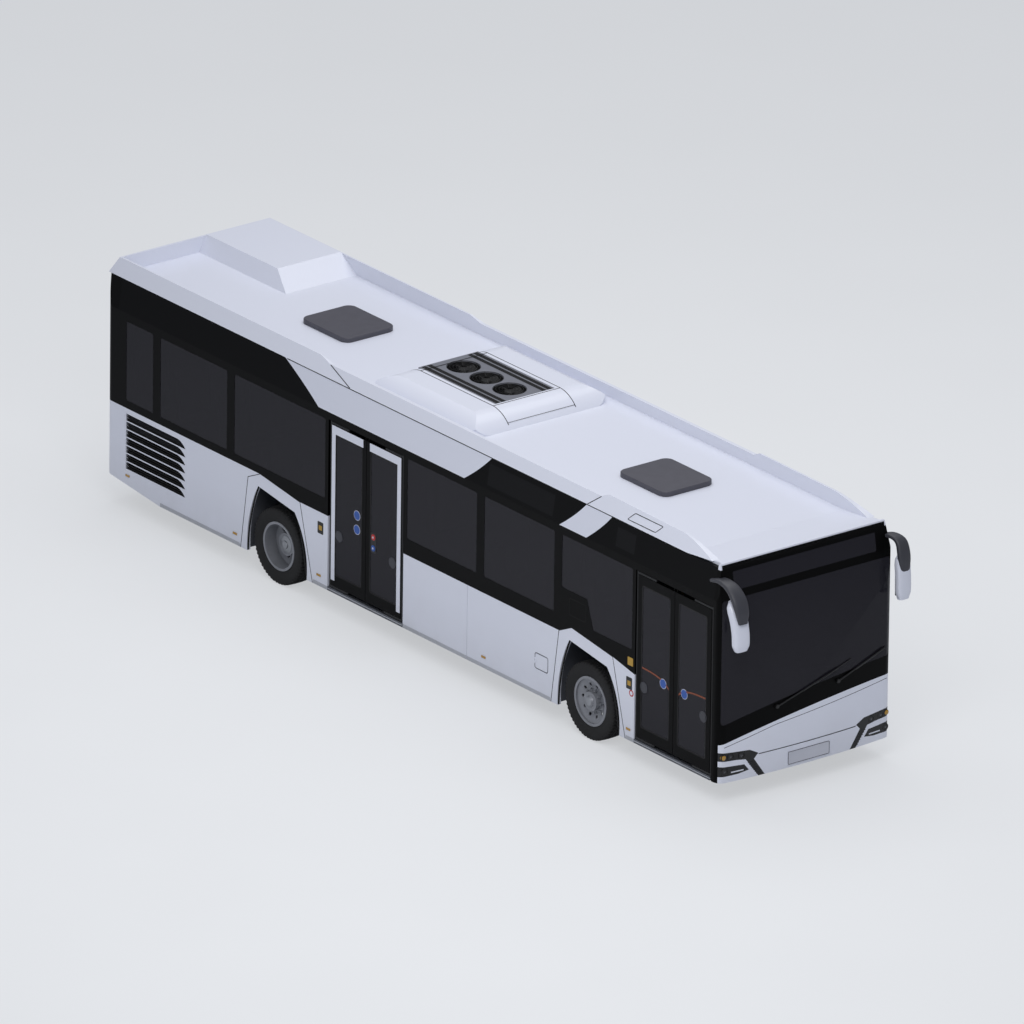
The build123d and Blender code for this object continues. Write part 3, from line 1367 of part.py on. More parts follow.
def mirrors():
    """Both outside mirrors with their arms."""
    pieces = [mirror_arm(-1, DOOR_MIRROR_ARM) + mirror_head(-1, DOOR_MIRROR_X, DOOR_MIRROR),
              mirror_arm(1, DRIVER_MIRROR_ARM) + mirror_head(1, DRIVER_MIRROR_X, DRIVER_MIRROR)]
    return fused(pieces) - envelope(0, 0, SKIRT_Z)


MARKER_HALF = (38.0, 13.0)
MARKER_Z = 408.0
MARKER_S = (DOOR1_S + DOOR1_W + 103, SEAM_S - 325, DOOR2_S + DOOR2_W + 165, REAR_AXLE_S + 783)
REAR_MARKER = (BODY_LENGTH - 502, 461.0)


def amber_lamps(shell):
    """Side markers on both skirts and the front indicators."""
    places = [(s, MARKER_Z) for s in MARKER_S] + [REAR_MARKER]
    markers = []
    for s, z in places:
        half_s, half_z = MARKER_HALF
        marker = block((-HALF - 8, -HALF), (s - half_s, s + half_s), (z - half_z, z + half_z))
        markers += mirrored(marker)
    return fused(markers + [front_lamps(shell, True)])


class Leaf:
    """One leaf of an inward-gliding double door and the arm that carries it.

    The pillar stands beyond the leaf's outer edge, the arm reaches from it to
    the leaf's middle pin, and a roller near the leading edge runs in the lintel.
    """

    def __init__(self, name, edge, width, heading):
        self.name = name
        self.edge = edge            # station of the leaf's outer edge
        self.width = width
        self.heading = heading      # +1 where the leaf runs aft from that edge
        self.reach = (width - ROLLER_INSET + PILLAR_INSET) / 2

    def at(self, along):
        """Station at a distance along the leaf from its outer edge."""
        return self.edge + self.heading * along

    def plate(self, along, z, depth):
        return block((-HALF + depth[0], -HALF + depth[1]),
                     sorted((self.at(along[0]), self.at(along[1]))), z)

    def pin(self, along, z, radius):
        """Upright round bar in the door plane between two heights."""
        x = -HALF + DOOR_PLANE
        y = st(self.at(along))
        return rod((x, y, z[0]), (x, y, z[1]), radius)

    def slab(self):
        return (DOOR_PLANE - LEAF_T / 2, DOOR_PLANE + LEAF_T / 2)

    def middle(self):
        return self.reach - PILLAR_INSET

    def frame(self):
        """Leaf frame with its pins and the roller at the leading edge."""
        low, high = LEAF_GLASS_Z
        arm_low, arm_high = self.arm_layers()
        roller = self.width - ROLLER_INSET
        return separate([
            self.plate((0, LEAF_STILE), (LEAF_BOTTOM, LEAF_TOP), self.slab()),
            self.plate((self.width - LEAF_STILE, self.width), (LEAF_BOTTOM, LEAF_TOP), self.slab()),
            self.plate((LEAF_STILE, self.width - LEAF_STILE), (LEAF_BOTTOM, low), self.slab()),
            self.plate((LEAF_STILE, self.width - LEAF_STILE), (high, LEAF_TOP), self.slab()),
            self.pin(self.middle(), (arm_low[0], LEAF_BOTTOM), DOOR_PIN_R),
            self.pin(self.middle(), (LEAF_TOP, arm_high[1]), DOOR_PIN_R),
            self.pin(roller, (LEAF_TOP, DOOR_TOP + TRACK_DEPTH / 2), DOOR_PIN_R),
        ])

    def window(self, depth):
        return self.plate((LEAF_STILE, self.width - LEAF_STILE), LEAF_GLASS_Z, depth)

    def glass(self):
        return self.window((self.slab()[0] + GLASS_INSET, self.slab()[0] + GLASS_INSET + GLASS_T))

    def arm_layers(self):
        """Heights of the lower and the upper arm."""
        low = LEAF_BOTTOM - ARM_GAP - ARM_T
        high = LEAF_TOP + ARM_GAP
        return (low, low + ARM_T), (high, high + ARM_T)

    def arm(self):
        """Turning pillar with an arm below and an arm above the leaf."""
        pillar = self.pin(-PILLAR_INSET, (FLOOR_Z + CLEAR, DOOR_TOP - CLEAR), PILLAR_R)
        depth = (DOOR_PLANE - ARM_W / 2, DOOR_PLANE + ARM_W / 2)
        parts = [pillar]
        for z in self.arm_layers():
            bar = self.plate((-PILLAR_INSET, self.middle()), z, depth) - pillar
            bar += self.pin(self.middle(), z, ARM_W / 2)
            parts.append(bar - self.pin(self.middle(), (FLOOR_Z, DOOR_TOP), DOOR_PIN_R + FIT))
        return separate(parts)


def door_leaves(name, start, width, pocket):
    """Front and rear leaf of a double door."""
    front = start + pocket
    rear = start + width - pocket
    leaf_w = (rear - front - LEAF_GAP) / 2
    return [Leaf(name + "_front", front, leaf_w, 1), Leaf(name + "_rear", rear, leaf_w, -1)]


LEAVES = door_leaves("door1", DOOR1_S, DOOR1_W, DOOR1_POCKET) + door_leaves(
    "door2", DOOR2_S, DOOR2_W, DOOR2_POCKET)


def build():
    """Every node by name."""
    shell = body_shell()
    skin = glass_skin()
    nodes = {
        "floor": floor(),
        "underframe": underframe(),
        "right_wall": side_wall(shell, -1),
        "left_wall": side_wall(shell, 1),
        "right_skirt": skirt(shell, -1),
        "left_skirt": skirt(shell, 1),
        "arch_trims": arch_trims(shell),
        "cantrails": cantrails(shell),
        "front_frame": front_frame(shell),
        "front_mask": front_mask(shell),
        "lamp_housings": lamp_housings(shell),
        "clear_lamps": front_lamps(shell, False),
        "amber_lamps": amber_lamps(shell),
        "front_glass": front_glass(skin),
        "saloon_windows": saloon_windows(skin),
        "rear_frame": rear_frame(shell),
        "rear_panel": rear_panel(shell),
        "red_lamps": red_lamps(),
        "engine_flap": engine_flap(shell),
        "fuel_flap": fuel_flap(),
        "roof": roof(shell),
        "roof_covers": roof_covers(),
        "ac_housing": ac_housing(),
        "ac_grille": ac_grille(),
        "axles": axles(),
        "engine": engine(),
        "driveline": driveline(),
        "passenger_seats": passenger_seats(),
        "handrails": handrails(),
        "driver_seat": driver_seat(),
        "driver_cab": driver_cab(),
        "wipers": wipers(),
        "mirrors": mirrors(),
    }
    for name, s in zip(("front", "rear"), HATCH_S):
        nodes["hatch_" + name] = hatch(s)
    for i, s in enumerate(fan_stations()):
        nodes[f"fan_{i + 1}"] = fan_rotor(s)
    for name, side in (("right", -1), ("left", 1)):
        nodes[f"front_{name}_knuckle"] = knuckle(side)
        nodes[f"front_{name}_tyre"] = tyre(side * WHEEL_X, FRONT_AXLE_S)
        nodes[f"front_{name}_rim"] = front_rim(side)
        nodes[f"rear_{name}_tyres"] = rear_tyres(side)
        nodes[f"rear_{name}_rims"] = rear_rims(side)
    for leaf in LEAVES:
        nodes[leaf.name + "_leaf"] = leaf.frame()
        nodes[leaf.name + "_glass"] = leaf.glass()
        nodes[leaf.name + "_arm"] = leaf.arm()
    return nodes


os.makedirs("parts", exist_ok=True)
for node, solid in build().items():
    export_step(solid, f"parts/{node}.step")
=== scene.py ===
"""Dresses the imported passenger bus: finishes, trim, light and camera.

All places are in metres in the frame of the CAD model. The bus drives towards -Y and its
doors are on the -X side. A station is the distance behind the foremost point of the front.
"""

import logging
import math
from dataclasses import dataclass
from enum import Enum
from functools import cache
from typing import Any, Optional, Sequence

import bmesh
import bpy
import numpy as np
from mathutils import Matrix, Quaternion, Vector

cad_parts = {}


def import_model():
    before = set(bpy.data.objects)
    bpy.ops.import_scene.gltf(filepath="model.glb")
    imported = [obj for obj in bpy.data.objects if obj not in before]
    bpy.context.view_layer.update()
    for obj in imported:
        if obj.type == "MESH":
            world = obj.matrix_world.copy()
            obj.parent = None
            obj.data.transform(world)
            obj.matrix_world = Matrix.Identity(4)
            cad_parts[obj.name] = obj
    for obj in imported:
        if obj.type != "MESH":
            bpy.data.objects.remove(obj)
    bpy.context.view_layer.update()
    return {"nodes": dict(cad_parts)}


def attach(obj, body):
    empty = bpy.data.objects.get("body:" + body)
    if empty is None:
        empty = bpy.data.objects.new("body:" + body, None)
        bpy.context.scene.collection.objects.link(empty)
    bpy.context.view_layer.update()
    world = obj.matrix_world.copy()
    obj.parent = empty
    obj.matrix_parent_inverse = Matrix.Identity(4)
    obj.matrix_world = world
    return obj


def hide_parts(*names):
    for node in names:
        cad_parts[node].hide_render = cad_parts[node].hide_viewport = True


LOG = logging.getLogger("bus")

# Body
MM = 0.001
FRONT_Y = -5.835  # Y of the foremost point of the front
HALF = 1.275  # half width
BODY_LENGTH = 12.0
END_BULGE = 0.071  # front and rear curve out by this in plan
KNEE_Z = 1.2  # the front leans back above this height
KNEE_RISE = 1.765
FRONT_LEAN = 0.170
CREASE_Z = 2.531  # edge where the side starts to lean in
DECK_Z = 2.916  # roof deck and upper edge of the cantrail
LEAN = 0.060  # of the cantrail, inwards
FLOOR_Z = 0.318
PODIUM_Z = 1.060
# Wheels
FRONT_AXLE_S = 2.560
REAR_AXLE_S = 8.582
TYRE_R = 0.479
WHEEL_X = 1.098
TWIN_SPACING = 0.312
# Doors: first and last station and the pocket beside the leaves
DOOR_1 = (0.206, 1.660, 0.042)
DOOR_2 = (6.085, 7.555, 0.060)
LEAF_GAP = 0.010
LEAF_Z = (0.362, 2.394)
LEAF_GLASS_Z = (0.507, 2.276)
LEAF_STILE = 0.080
LEAF_FACE = 0.0045  # outer face behind the side's surface
# Air conditioner
AC_S = (5.060, 7.140)
AC_CENTRE = 6.173
AC_TOP = DECK_Z + 0.197
AC_SLOPE = ((0.0, 0.0), (0.119, 0.1221), (0.340, 0.197))  # end slope, from its foot up
FAN_PITCH = 0.444
# Thin lines: width and height of the profile
LINE = (0.010, 0.0016)


def at(station: float) -> float:
    """Y of a station behind the front panel."""
    return FRONT_Y + station


def linear(hex_code: str) -> tuple[float, float, float, float]:
    """Turns an sRGB hex colour into linear RGBA.

    Args:
        hex_code: six hex digits, such as "D6DBEE".

    Returns:
        The linear colour with alpha 1.
    """
    channels = [int(hex_code[i : i + 2], 16) / 255 for i in (0, 2, 4)]
    curve = [c / 12.92 if c <= 0.04045 else ((c + 0.055) / 1.055) ** 2.4 for c in channels]
    return (curve[0], curve[1], curve[2], 1.0)


def front_station(x: Any, z: Any) -> Any:
    """Station of the front surface: the deeper of an arc in plan and an arc leaning back."""
    plan = (HALF**2 + END_BULGE**2) / (2 * END_BULGE)
    rise = (KNEE_RISE**2 + FRONT_LEAN**2) / (2 * FRONT_LEAN)
    above = np.maximum(np.asarray(z) - KNEE_Z, 0.0)
    return np.maximum(plan - np.sqrt(plan**2 - np.asarray(x) ** 2), rise - np.sqrt(rise**2 - above**2))


class Graph:
    """Node tree of a material or a world, built one node at a time."""

    def __init__(self, name: str, world: bool = False) -> None:
        """Starts an empty tree with an output node.

        Args:
            name: the name of the material or world.
            world: whether the tree belongs to a world.
        """
        self.block = (bpy.data.worlds if world else bpy.data.materials).new(name)
        self.block.use_nodes = True
        self.tree = self.block.node_tree
        self.tree.nodes.clear()
        self.out = self.add("ShaderNodeOutputWorld" if world else "ShaderNodeOutputMaterial")

    def add(self, kind: str, sockets: Optional[dict[Any, Any]] = None, **settings: Any) -> Any:
        """Adds a node, sets its properties and fills or links its inputs.

        Args:
            kind: the node's type.
            sockets: input name or index to a value, or to an output socket to link.
            settings: properties of the node.

        Returns:
            The new node.
        """
        node = self.tree.nodes.new(kind)
        for key, value in settings.items():
            setattr(node, key, value)
        for key, value in (sockets or {}).items():
            if isinstance(value, bpy.types.NodeSocket):
                self.tree.links.new(value, node.inputs[key])
            else:
                node.inputs[key].default_value = value
        return node

    def math(self, operation: str, a: Any, b: Any = 0.0, clamp: bool = False) -> Any:
        """Output of a Math node on two values or sockets."""
        return self.add("ShaderNodeMath", {0: a, 1: b}, operation=operation, use_clamp=clamp).outputs[0]

    def mix(self, factor: Any, a: Any, b: Any) -> Any:
        """Colour mixed from a to b by a factor."""
        sockets = {0: factor, 6: a, 7: b}
        return self.add("ShaderNodeMix", sockets, data_type="RGBA", blend_type="MIX").outputs[2]

    def place(self) -> tuple[Any, Any, Any, Any]:
        """Object coordinates as a vector and its X, Y and Z."""
        vector = self.add("ShaderNodeTexCoord").outputs["Object"]
        split = self.add("ShaderNodeSeparateXYZ", {0: vector})
        return vector, split.outputs[0], split.outputs[1], split.outputs[2]

    def noise(self, vector: Any, scale: float, detail: float = 2.0) -> Any:
        """Noise value with a number of waves per metre."""
        sockets = {"Vector": vector, "Scale": scale, "Detail": detail}
        return self.add("ShaderNodeTexNoise", sockets).outputs["Fac"]

    def bump(self, height: Any, distance: float, strength: float = 1.0) -> Any:
        """Normal bent by a height, with the bump's real depth in metres."""
        sockets = {"Strength": strength, "Distance": distance, "Height": height}
        return self.add("ShaderNodeBump", sockets).outputs["Normal"]

    def surface(self, sockets: dict[Any, Any]) -> bpy.types.Material:
        """Closes the tree with a Principled shader.

        Args:
            sockets: inputs of the shader.

        Returns:
            The finished material.
        """
        self.show(self.add("ShaderNodeBsdfPrincipled", sockets))
        return self.block

    def show(self, shader: Any) -> None:
        """Links a shader to the output."""
        self.tree.links.new(shader.outputs[0], self.out.inputs[0])


@dataclass(frozen=True)
class Lacquer:
    """Two-coat body lacquer, sprayed and baked: smooth colour under a clear gloss."""

    name: str
    colour: str
    shade: str
    roughness: float = 0.32
    coat: float = 0.6
    gloss: float = 0.5

    def build(self) -> bpy.types.Material:
        """Lacquer with faint road film low down and fine orange peel."""
        g = Graph(self.name)
        vector, _, _, z = g.place()
        film = g.math("MULTIPLY", g.noise(vector, 3.0, 4.0), 0.55)
        low = g.math("SUBTRACT", 1.0, g.math("DIVIDE", z, 0.9, clamp=True), clamp=True)
        dirt = g.math("MULTIPLY", film, low, clamp=True)
        colour = g.mix(dirt, linear(self.colour), linear(self.shade))
        peel = g.noise(vector, 180.0, 1.0)
        return g.surface({
            "Base Color": colour,
            "Roughness": self.roughness,
            "Coat Weight": self.coat,
            "Coat Roughness": 0.08,
            "IOR": 1.5,
            "Specular IOR Level": self.gloss,
            "Normal": g.bump(peel, 0.0002, 0.25),
        })


@dataclass(frozen=True)
class Moulded:
    """Injection-moulded or cast part with a fine grained skin."""

    name: str
    colour: str
    roughness: float = 0.5
    grain_mm: float = 2.5
    depth_mm: float = 0.12
    metallic: float = 0.0

    def build(self) -> bpy.types.Material:
        """Grained skin with a slight change of tone over hand-sized patches."""
        g = Graph(self.name)
        vector, _, _, _ = g.place()
        tone = g.noise(vector, 9.0, 3.0)
        base = linear(self.colour)
        darker = tuple(c * 0.72 for c in base[:3]) + (1.0,)
        colour = g.mix(tone, darker, base)
        grain = g.noise(vector, 1.0 / (self.grain_mm * MM), 2.0)
        sockets = {
            "Base Color": colour,
            "Roughness": self.roughness,
            "Metallic": self.metallic,
            "Normal": g.bump(grain, self.depth_mm * MM, 0.6),
        }
        if self.metallic == 0.0:
            sockets["IOR"] = 1.5
        return g.surface(sockets)


@dataclass(frozen=True)
class TintedGlass:
    """Grey body-tinted float glass, which shows the saloon only dimly."""

    name: str
    colour: str
    clear: float = 0.25
    roughness: float = 0.04

    def build(self) -> bpy.types.Material:
        """Dark pane: partly clear, with a glossy outer face."""
        g = Graph(self.name)
        vector, _, _, _ = g.place()
        ripple = g.noise(vector, 1.6, 1.0)
        glass = g.surface({
            "Base Color": linear(self.colour),
            "Roughness": self.roughness,
            "IOR": 1.52,
            "Alpha": 1.0 - self.clear,
            "Specular IOR Level": 0.14,
            "Normal": g.bump(ripple, 0.002, 0.15),
        })
        glass.surface_render_method = "BLENDED"
        return glass


@dataclass(frozen=True)
class Lens:
    """Moulded lamp lens with fine optic ribs."""

    name: str
    colour: str
    rib_mm: float = 8.0

    def build(self) -> bpy.types.Material:
        """Coloured clear plastic over a bright reflector."""
        g = Graph(self.name)
        vector, x, _, z = g.place()
        ribs = g.math("SINE", g.math("MULTIPLY", g.math("ADD", x, z), math.tau / (self.rib_mm * MM)))
        return g.surface({
            "Base Color": linear(self.colour),
            "Roughness": 0.12,
            "IOR": 1.49,
            "Coat Weight": 0.5,
            "Normal": g.bump(ribs, 0.0006, 0.5),
        })


@dataclass(frozen=True)
class Livery:
    """Lacquer whose colour changes at slanting edges along the cantrail."""

    name: str
    white: str
    black: str
    pane: str
    zones: tuple[tuple[float, float], ...]
    panes: tuple[tuple[float, float, float, float], ...]

    def build(self) -> bpy.types.Material:
        """White and black fields by station and height, with darker gloss panes.

        A zone edge runs from its station at the deck to its station at the crease, as a
        straight line with a slight bow. The fields alternate from the front, black first.
        """
        g = Graph(self.name)
        _, x, y, z = g.place()
        rise = g.math("DIVIDE", g.math("SUBTRACT", DECK_Z, z), DECK_Z - CREASE_Z, clamp=True)
        bowed = g.math("MULTIPLY", g.math("MULTIPLY", rise, g.math("SUBTRACT", 1.0, rise)), 0.10)
        station = g.math("SUBTRACT", y, FRONT_Y)
        white: Any = 0.0
        for i, (top, crease) in enumerate(self.zones):
            edge = g.math("ADD", g.math("MULTIPLY", rise, crease - top), top)
            edge = g.math("SUBTRACT", edge, bowed)
            step = g.math("DIVIDE", g.math("SUBTRACT", station, edge), 0.003, clamp=True)
            white = g.math("ADD", white, g.math("MULTIPLY", step, 1.0 if i % 2 == 0 else -1.0))
        colour = g.mix(white, linear(self.black), linear(self.white))
        pane: Any = 0.0
        for s0, s1, z0, z1 in self.panes:
            along = g.math(
                "MULTIPLY", g.math("GREATER_THAN", station, s0), g.math("LESS_THAN", station, s1))
            high = g.math("MULTIPLY", g.math("GREATER_THAN", z, z0), g.math("LESS_THAN", z, z1))
            pane = g.math("ADD", pane, g.math("MULTIPLY", along, high), clamp=True)
        right = g.math("LESS_THAN", x, 0.0)
        colour = g.mix(g.math("MULTIPLY", pane, right), colour, linear(self.pane))
        return g.surface({
            "Base Color": colour,
            "Roughness": 0.4,
            "IOR": 1.5,
            "Specular IOR Level": 0.08,
        })


@dataclass(frozen=True)
class Fabric:
    """Woven seat moquette: a short pile with a regular spot pattern."""

    name: str
    colour: str
    spot: str
    pitch_mm: float = 36.0

    def build(self) -> bpy.types.Material:
        """Pile weave of 1.6 mm under spots at the pattern's pitch."""
        g = Graph(self.name)
        vector, x, y, z = g.place()
        wave = math.tau / (self.pitch_mm * MM)
        across = g.math("SINE", g.math("MULTIPLY", x, wave))
        along = g.math("SINE", g.math("MULTIPLY", g.math("ADD", y, z), wave))
        spots = g.math("GREATER_THAN", g.math("MULTIPLY", across, along), 0.55)
        pile = g.noise(vector, 620.0, 2.0)
        return g.surface({
            "Base Color": g.mix(spots, linear(self.colour), linear(self.spot)),
            "Roughness": 0.95,
            "IOR": 1.45,
            "Sheen Weight": 0.25,
            "Normal": g.bump(pile, 0.0008, 0.7),
        })


@dataclass(frozen=True)
class Metal:
    """Bare, plated or anodised metal with a directional grain."""

    name: str
    colour: str
    roughness: float = 0.3
    grain_mm: float = 1.5

    def build(self) -> bpy.types.Material:
        """Metal whose gloss wanders a little along its grain."""
        g = Graph(self.name)
        vector, _, _, _ = g.place()
        grain = g.noise(vector, 1.0 / (self.grain_mm * MM), 2.0)
        rough = g.math("ADD", self.roughness - 0.04, g.math("MULTIPLY", grain, 0.08))
        return g.surface({
            "Base Color": linear(self.colour),
            "Metallic": 1.0,
            "Roughness": rough,
            "Normal": g.bump(grain, 0.00005, 0.3),
        })


class Finish(Enum):
    """Every finish on the bus, by the real material it stands for."""

    WHITE = Lacquer("White_body_lacquer", "DADDE9", "B5B6BA")
    ROOF = Lacquer("White_roof_lacquer", "DADDE9", "C9CBD6", 0.42, 0.3)
    BLACK = Lacquer("Black_body_lacquer", "030303", "101012", 0.4, 0.0, 0.07)
    CANTRAIL = Livery(
        "Black_and_white_cantrail_lacquer", "DADDE9", "050506", "131315",
        ((2.190, 2.608), (2.674, 3.118), (4.480, 4.936), (8.489, 7.755)),
        ((3.26, 4.51, 2.583, 2.843), (1.72, 2.07, 2.60, 2.83)),
    )
    TRIM = Moulded("Black_moulded_ABS_trim", "0A0A0B", 0.45)
    RUBBER = Moulded("EPDM_rubber_seal", "0B0B0C", 0.75, 3.0, 0.2)
    TYRE = Moulded("Vulcanised_tyre_rubber", "161617", 0.85, 4.0, 0.3)
    RIM = Moulded("Silver_painted_steel_wheel", "8E9096", 0.42, 3.0, 0.05, 0.35)
    WINDOW = TintedGlass("Grey_tinted_float_glass", "232228", 0.12)
    SCREEN = TintedGlass("Laminated_windscreen_glass", "232228", 0.06)
    LAMP_CLEAR = Lens("Smoked_polycarbonate_lens", "2B2C31")
    LAMP_AMBER = Lens("Amber_acrylic_lens", "AA8024")
    LAMP_RED = Lens("Red_acrylic_lens", "7A0D0D")
    HATCH = Moulded("Grey_vacuum_formed_hatch_plastic", "4A4952", 0.45)
    GRILLE = Moulded("Grey_powder_coated_grille_plate", "74767F", 0.5)
    FAN = Moulded("Black_glass_filled_nylon_fan", "0B0B0C", 0.7)
    MESH = Moulded("Black_woven_wire_mesh", "060607", 0.85, 5.0, 0.6)
    FLOOR = Moulded("Grey_vinyl_flooring", "5B5E66", 0.7, 1.5, 0.15)
    CHASSIS = Moulded("Black_chassis_paint_on_steel", "17181A", 0.65, 4.0, 0.3)
    IRON = Moulded("Painted_cast_iron", "242527", 0.6, 5.0, 0.5)
    SEAT = Moulded("Moulded_grey_seat_shell_ABS", "3A3D45", 0.5)
    MOQUETTE = Fabric("Woven_wool_seat_moquette", "26304E", "6C7FAE")
    STRIPE = Lacquer("Orange_vinyl_film", "7C3608", "6C3008", 0.45, 0.0)
    YELLOW = Lacquer("Yellow_vinyl_film", "B08A2A", "8F7226", 0.45, 0.0)
    DISC = Lacquer("Blue_vinyl_film", "1F4FA0", "17386F", 0.45, 0.0)
    RED = Lacquer("Red_button_cap_plastic", "B01818", "7A1212", 0.35, 0.2)
    SEAM = Moulded("Black_joint_sealant", "040404", 0.9)
    PLATE = Lacquer("White_film_on_aluminium_plate", "C3C5CF", "9A9CA6", 0.4, 0.2)
    MIRROR_BLACK = Moulded("Dark_grey_mirror_arm_ABS", "3A3B42", 0.5)
    ALU = Metal("Brushed_aluminium_strip", "B9BBC0", 0.35)
    STEEL = Metal("Zinc_plated_steel", "9C9EA2", 0.4)
    SILVER = Metal("Silvered_mirror_glass", "D4D8DC", 0.04)
    POLE = Moulded("Powder_coated_steel_tube", "C9A21E", 0.4)
    CAB = Moulded("Grained_dashboard_plastic", "1D1D1F", 0.6)
    MIRROR = Lacquer("White_mirror_lacquer", "D5D8E4", "C0C2CC")


NODE_FINISHES: dict[Finish, str] = {
    Finish.WHITE: "right_skirt left_skirt arch_trims front_mask rear_panel engine_flap fuel_flap",
    Finish.BLACK: "right_wall left_wall front_frame rear_frame",
    Finish.ROOF: "roof roof_covers ac_housing",
    Finish.CANTRAIL: "cantrails",
    Finish.TRIM: "lamp_housings wipers",
    Finish.LAMP_CLEAR: "clear_lamps",
    Finish.LAMP_AMBER: "amber_lamps",
    Finish.LAMP_RED: "red_lamps",
    Finish.SCREEN: "front_glass",
    Finish.WINDOW: "saloon_windows",
    Finish.GRILLE: "ac_grille",
    Finish.HATCH: "hatch_front hatch_rear",
    Finish.FLOOR: "floor",
    Finish.CHASSIS: "underframe",
    Finish.IRON: "axles engine driveline",
    Finish.SEAT: "passenger_seats driver_seat",
    Finish.POLE: "handrails",
    Finish.CAB: "driver_cab",
    Finish.MIRROR: "mirrors",
}
NAME_PART_FINISHES: dict[str, Finish] = {
    "fan_": Finish.FAN,
    "knuckle": Finish.IRON,
    "_tyre": Finish.TYRE,
    "_rim": Finish.RIM,
    "_leaf": Finish.BLACK,
    "_glass": Finish.WINDOW,
    "_arm": Finish.CHASSIS,
}


@cache
def material(finish: Finish) -> bpy.types.Material:
    """The finish's material, built on first use."""
    return finish.value.build()


def finish_of(node: str) -> Finish:
    """Finish of a CAD node: by its whole name, or else by a part of it."""
    for finish, names in NODE_FINISHES.items():
        if node in names.split():
            return finish
    for part, finish in NAME_PART_FINISHES.items():
        if part in node:
            return finish
    raise ValueError(f"no finish for {node}")


def dress(nodes: dict[str, bpy.types.Object]) -> None:
    """Replaces every material slot of every CAD node."""
    for name, node in nodes.items():
        node.data.materials.clear()
        node.data.materials.append(material(finish_of(name)))
        LOG.info("dressed %s", name)


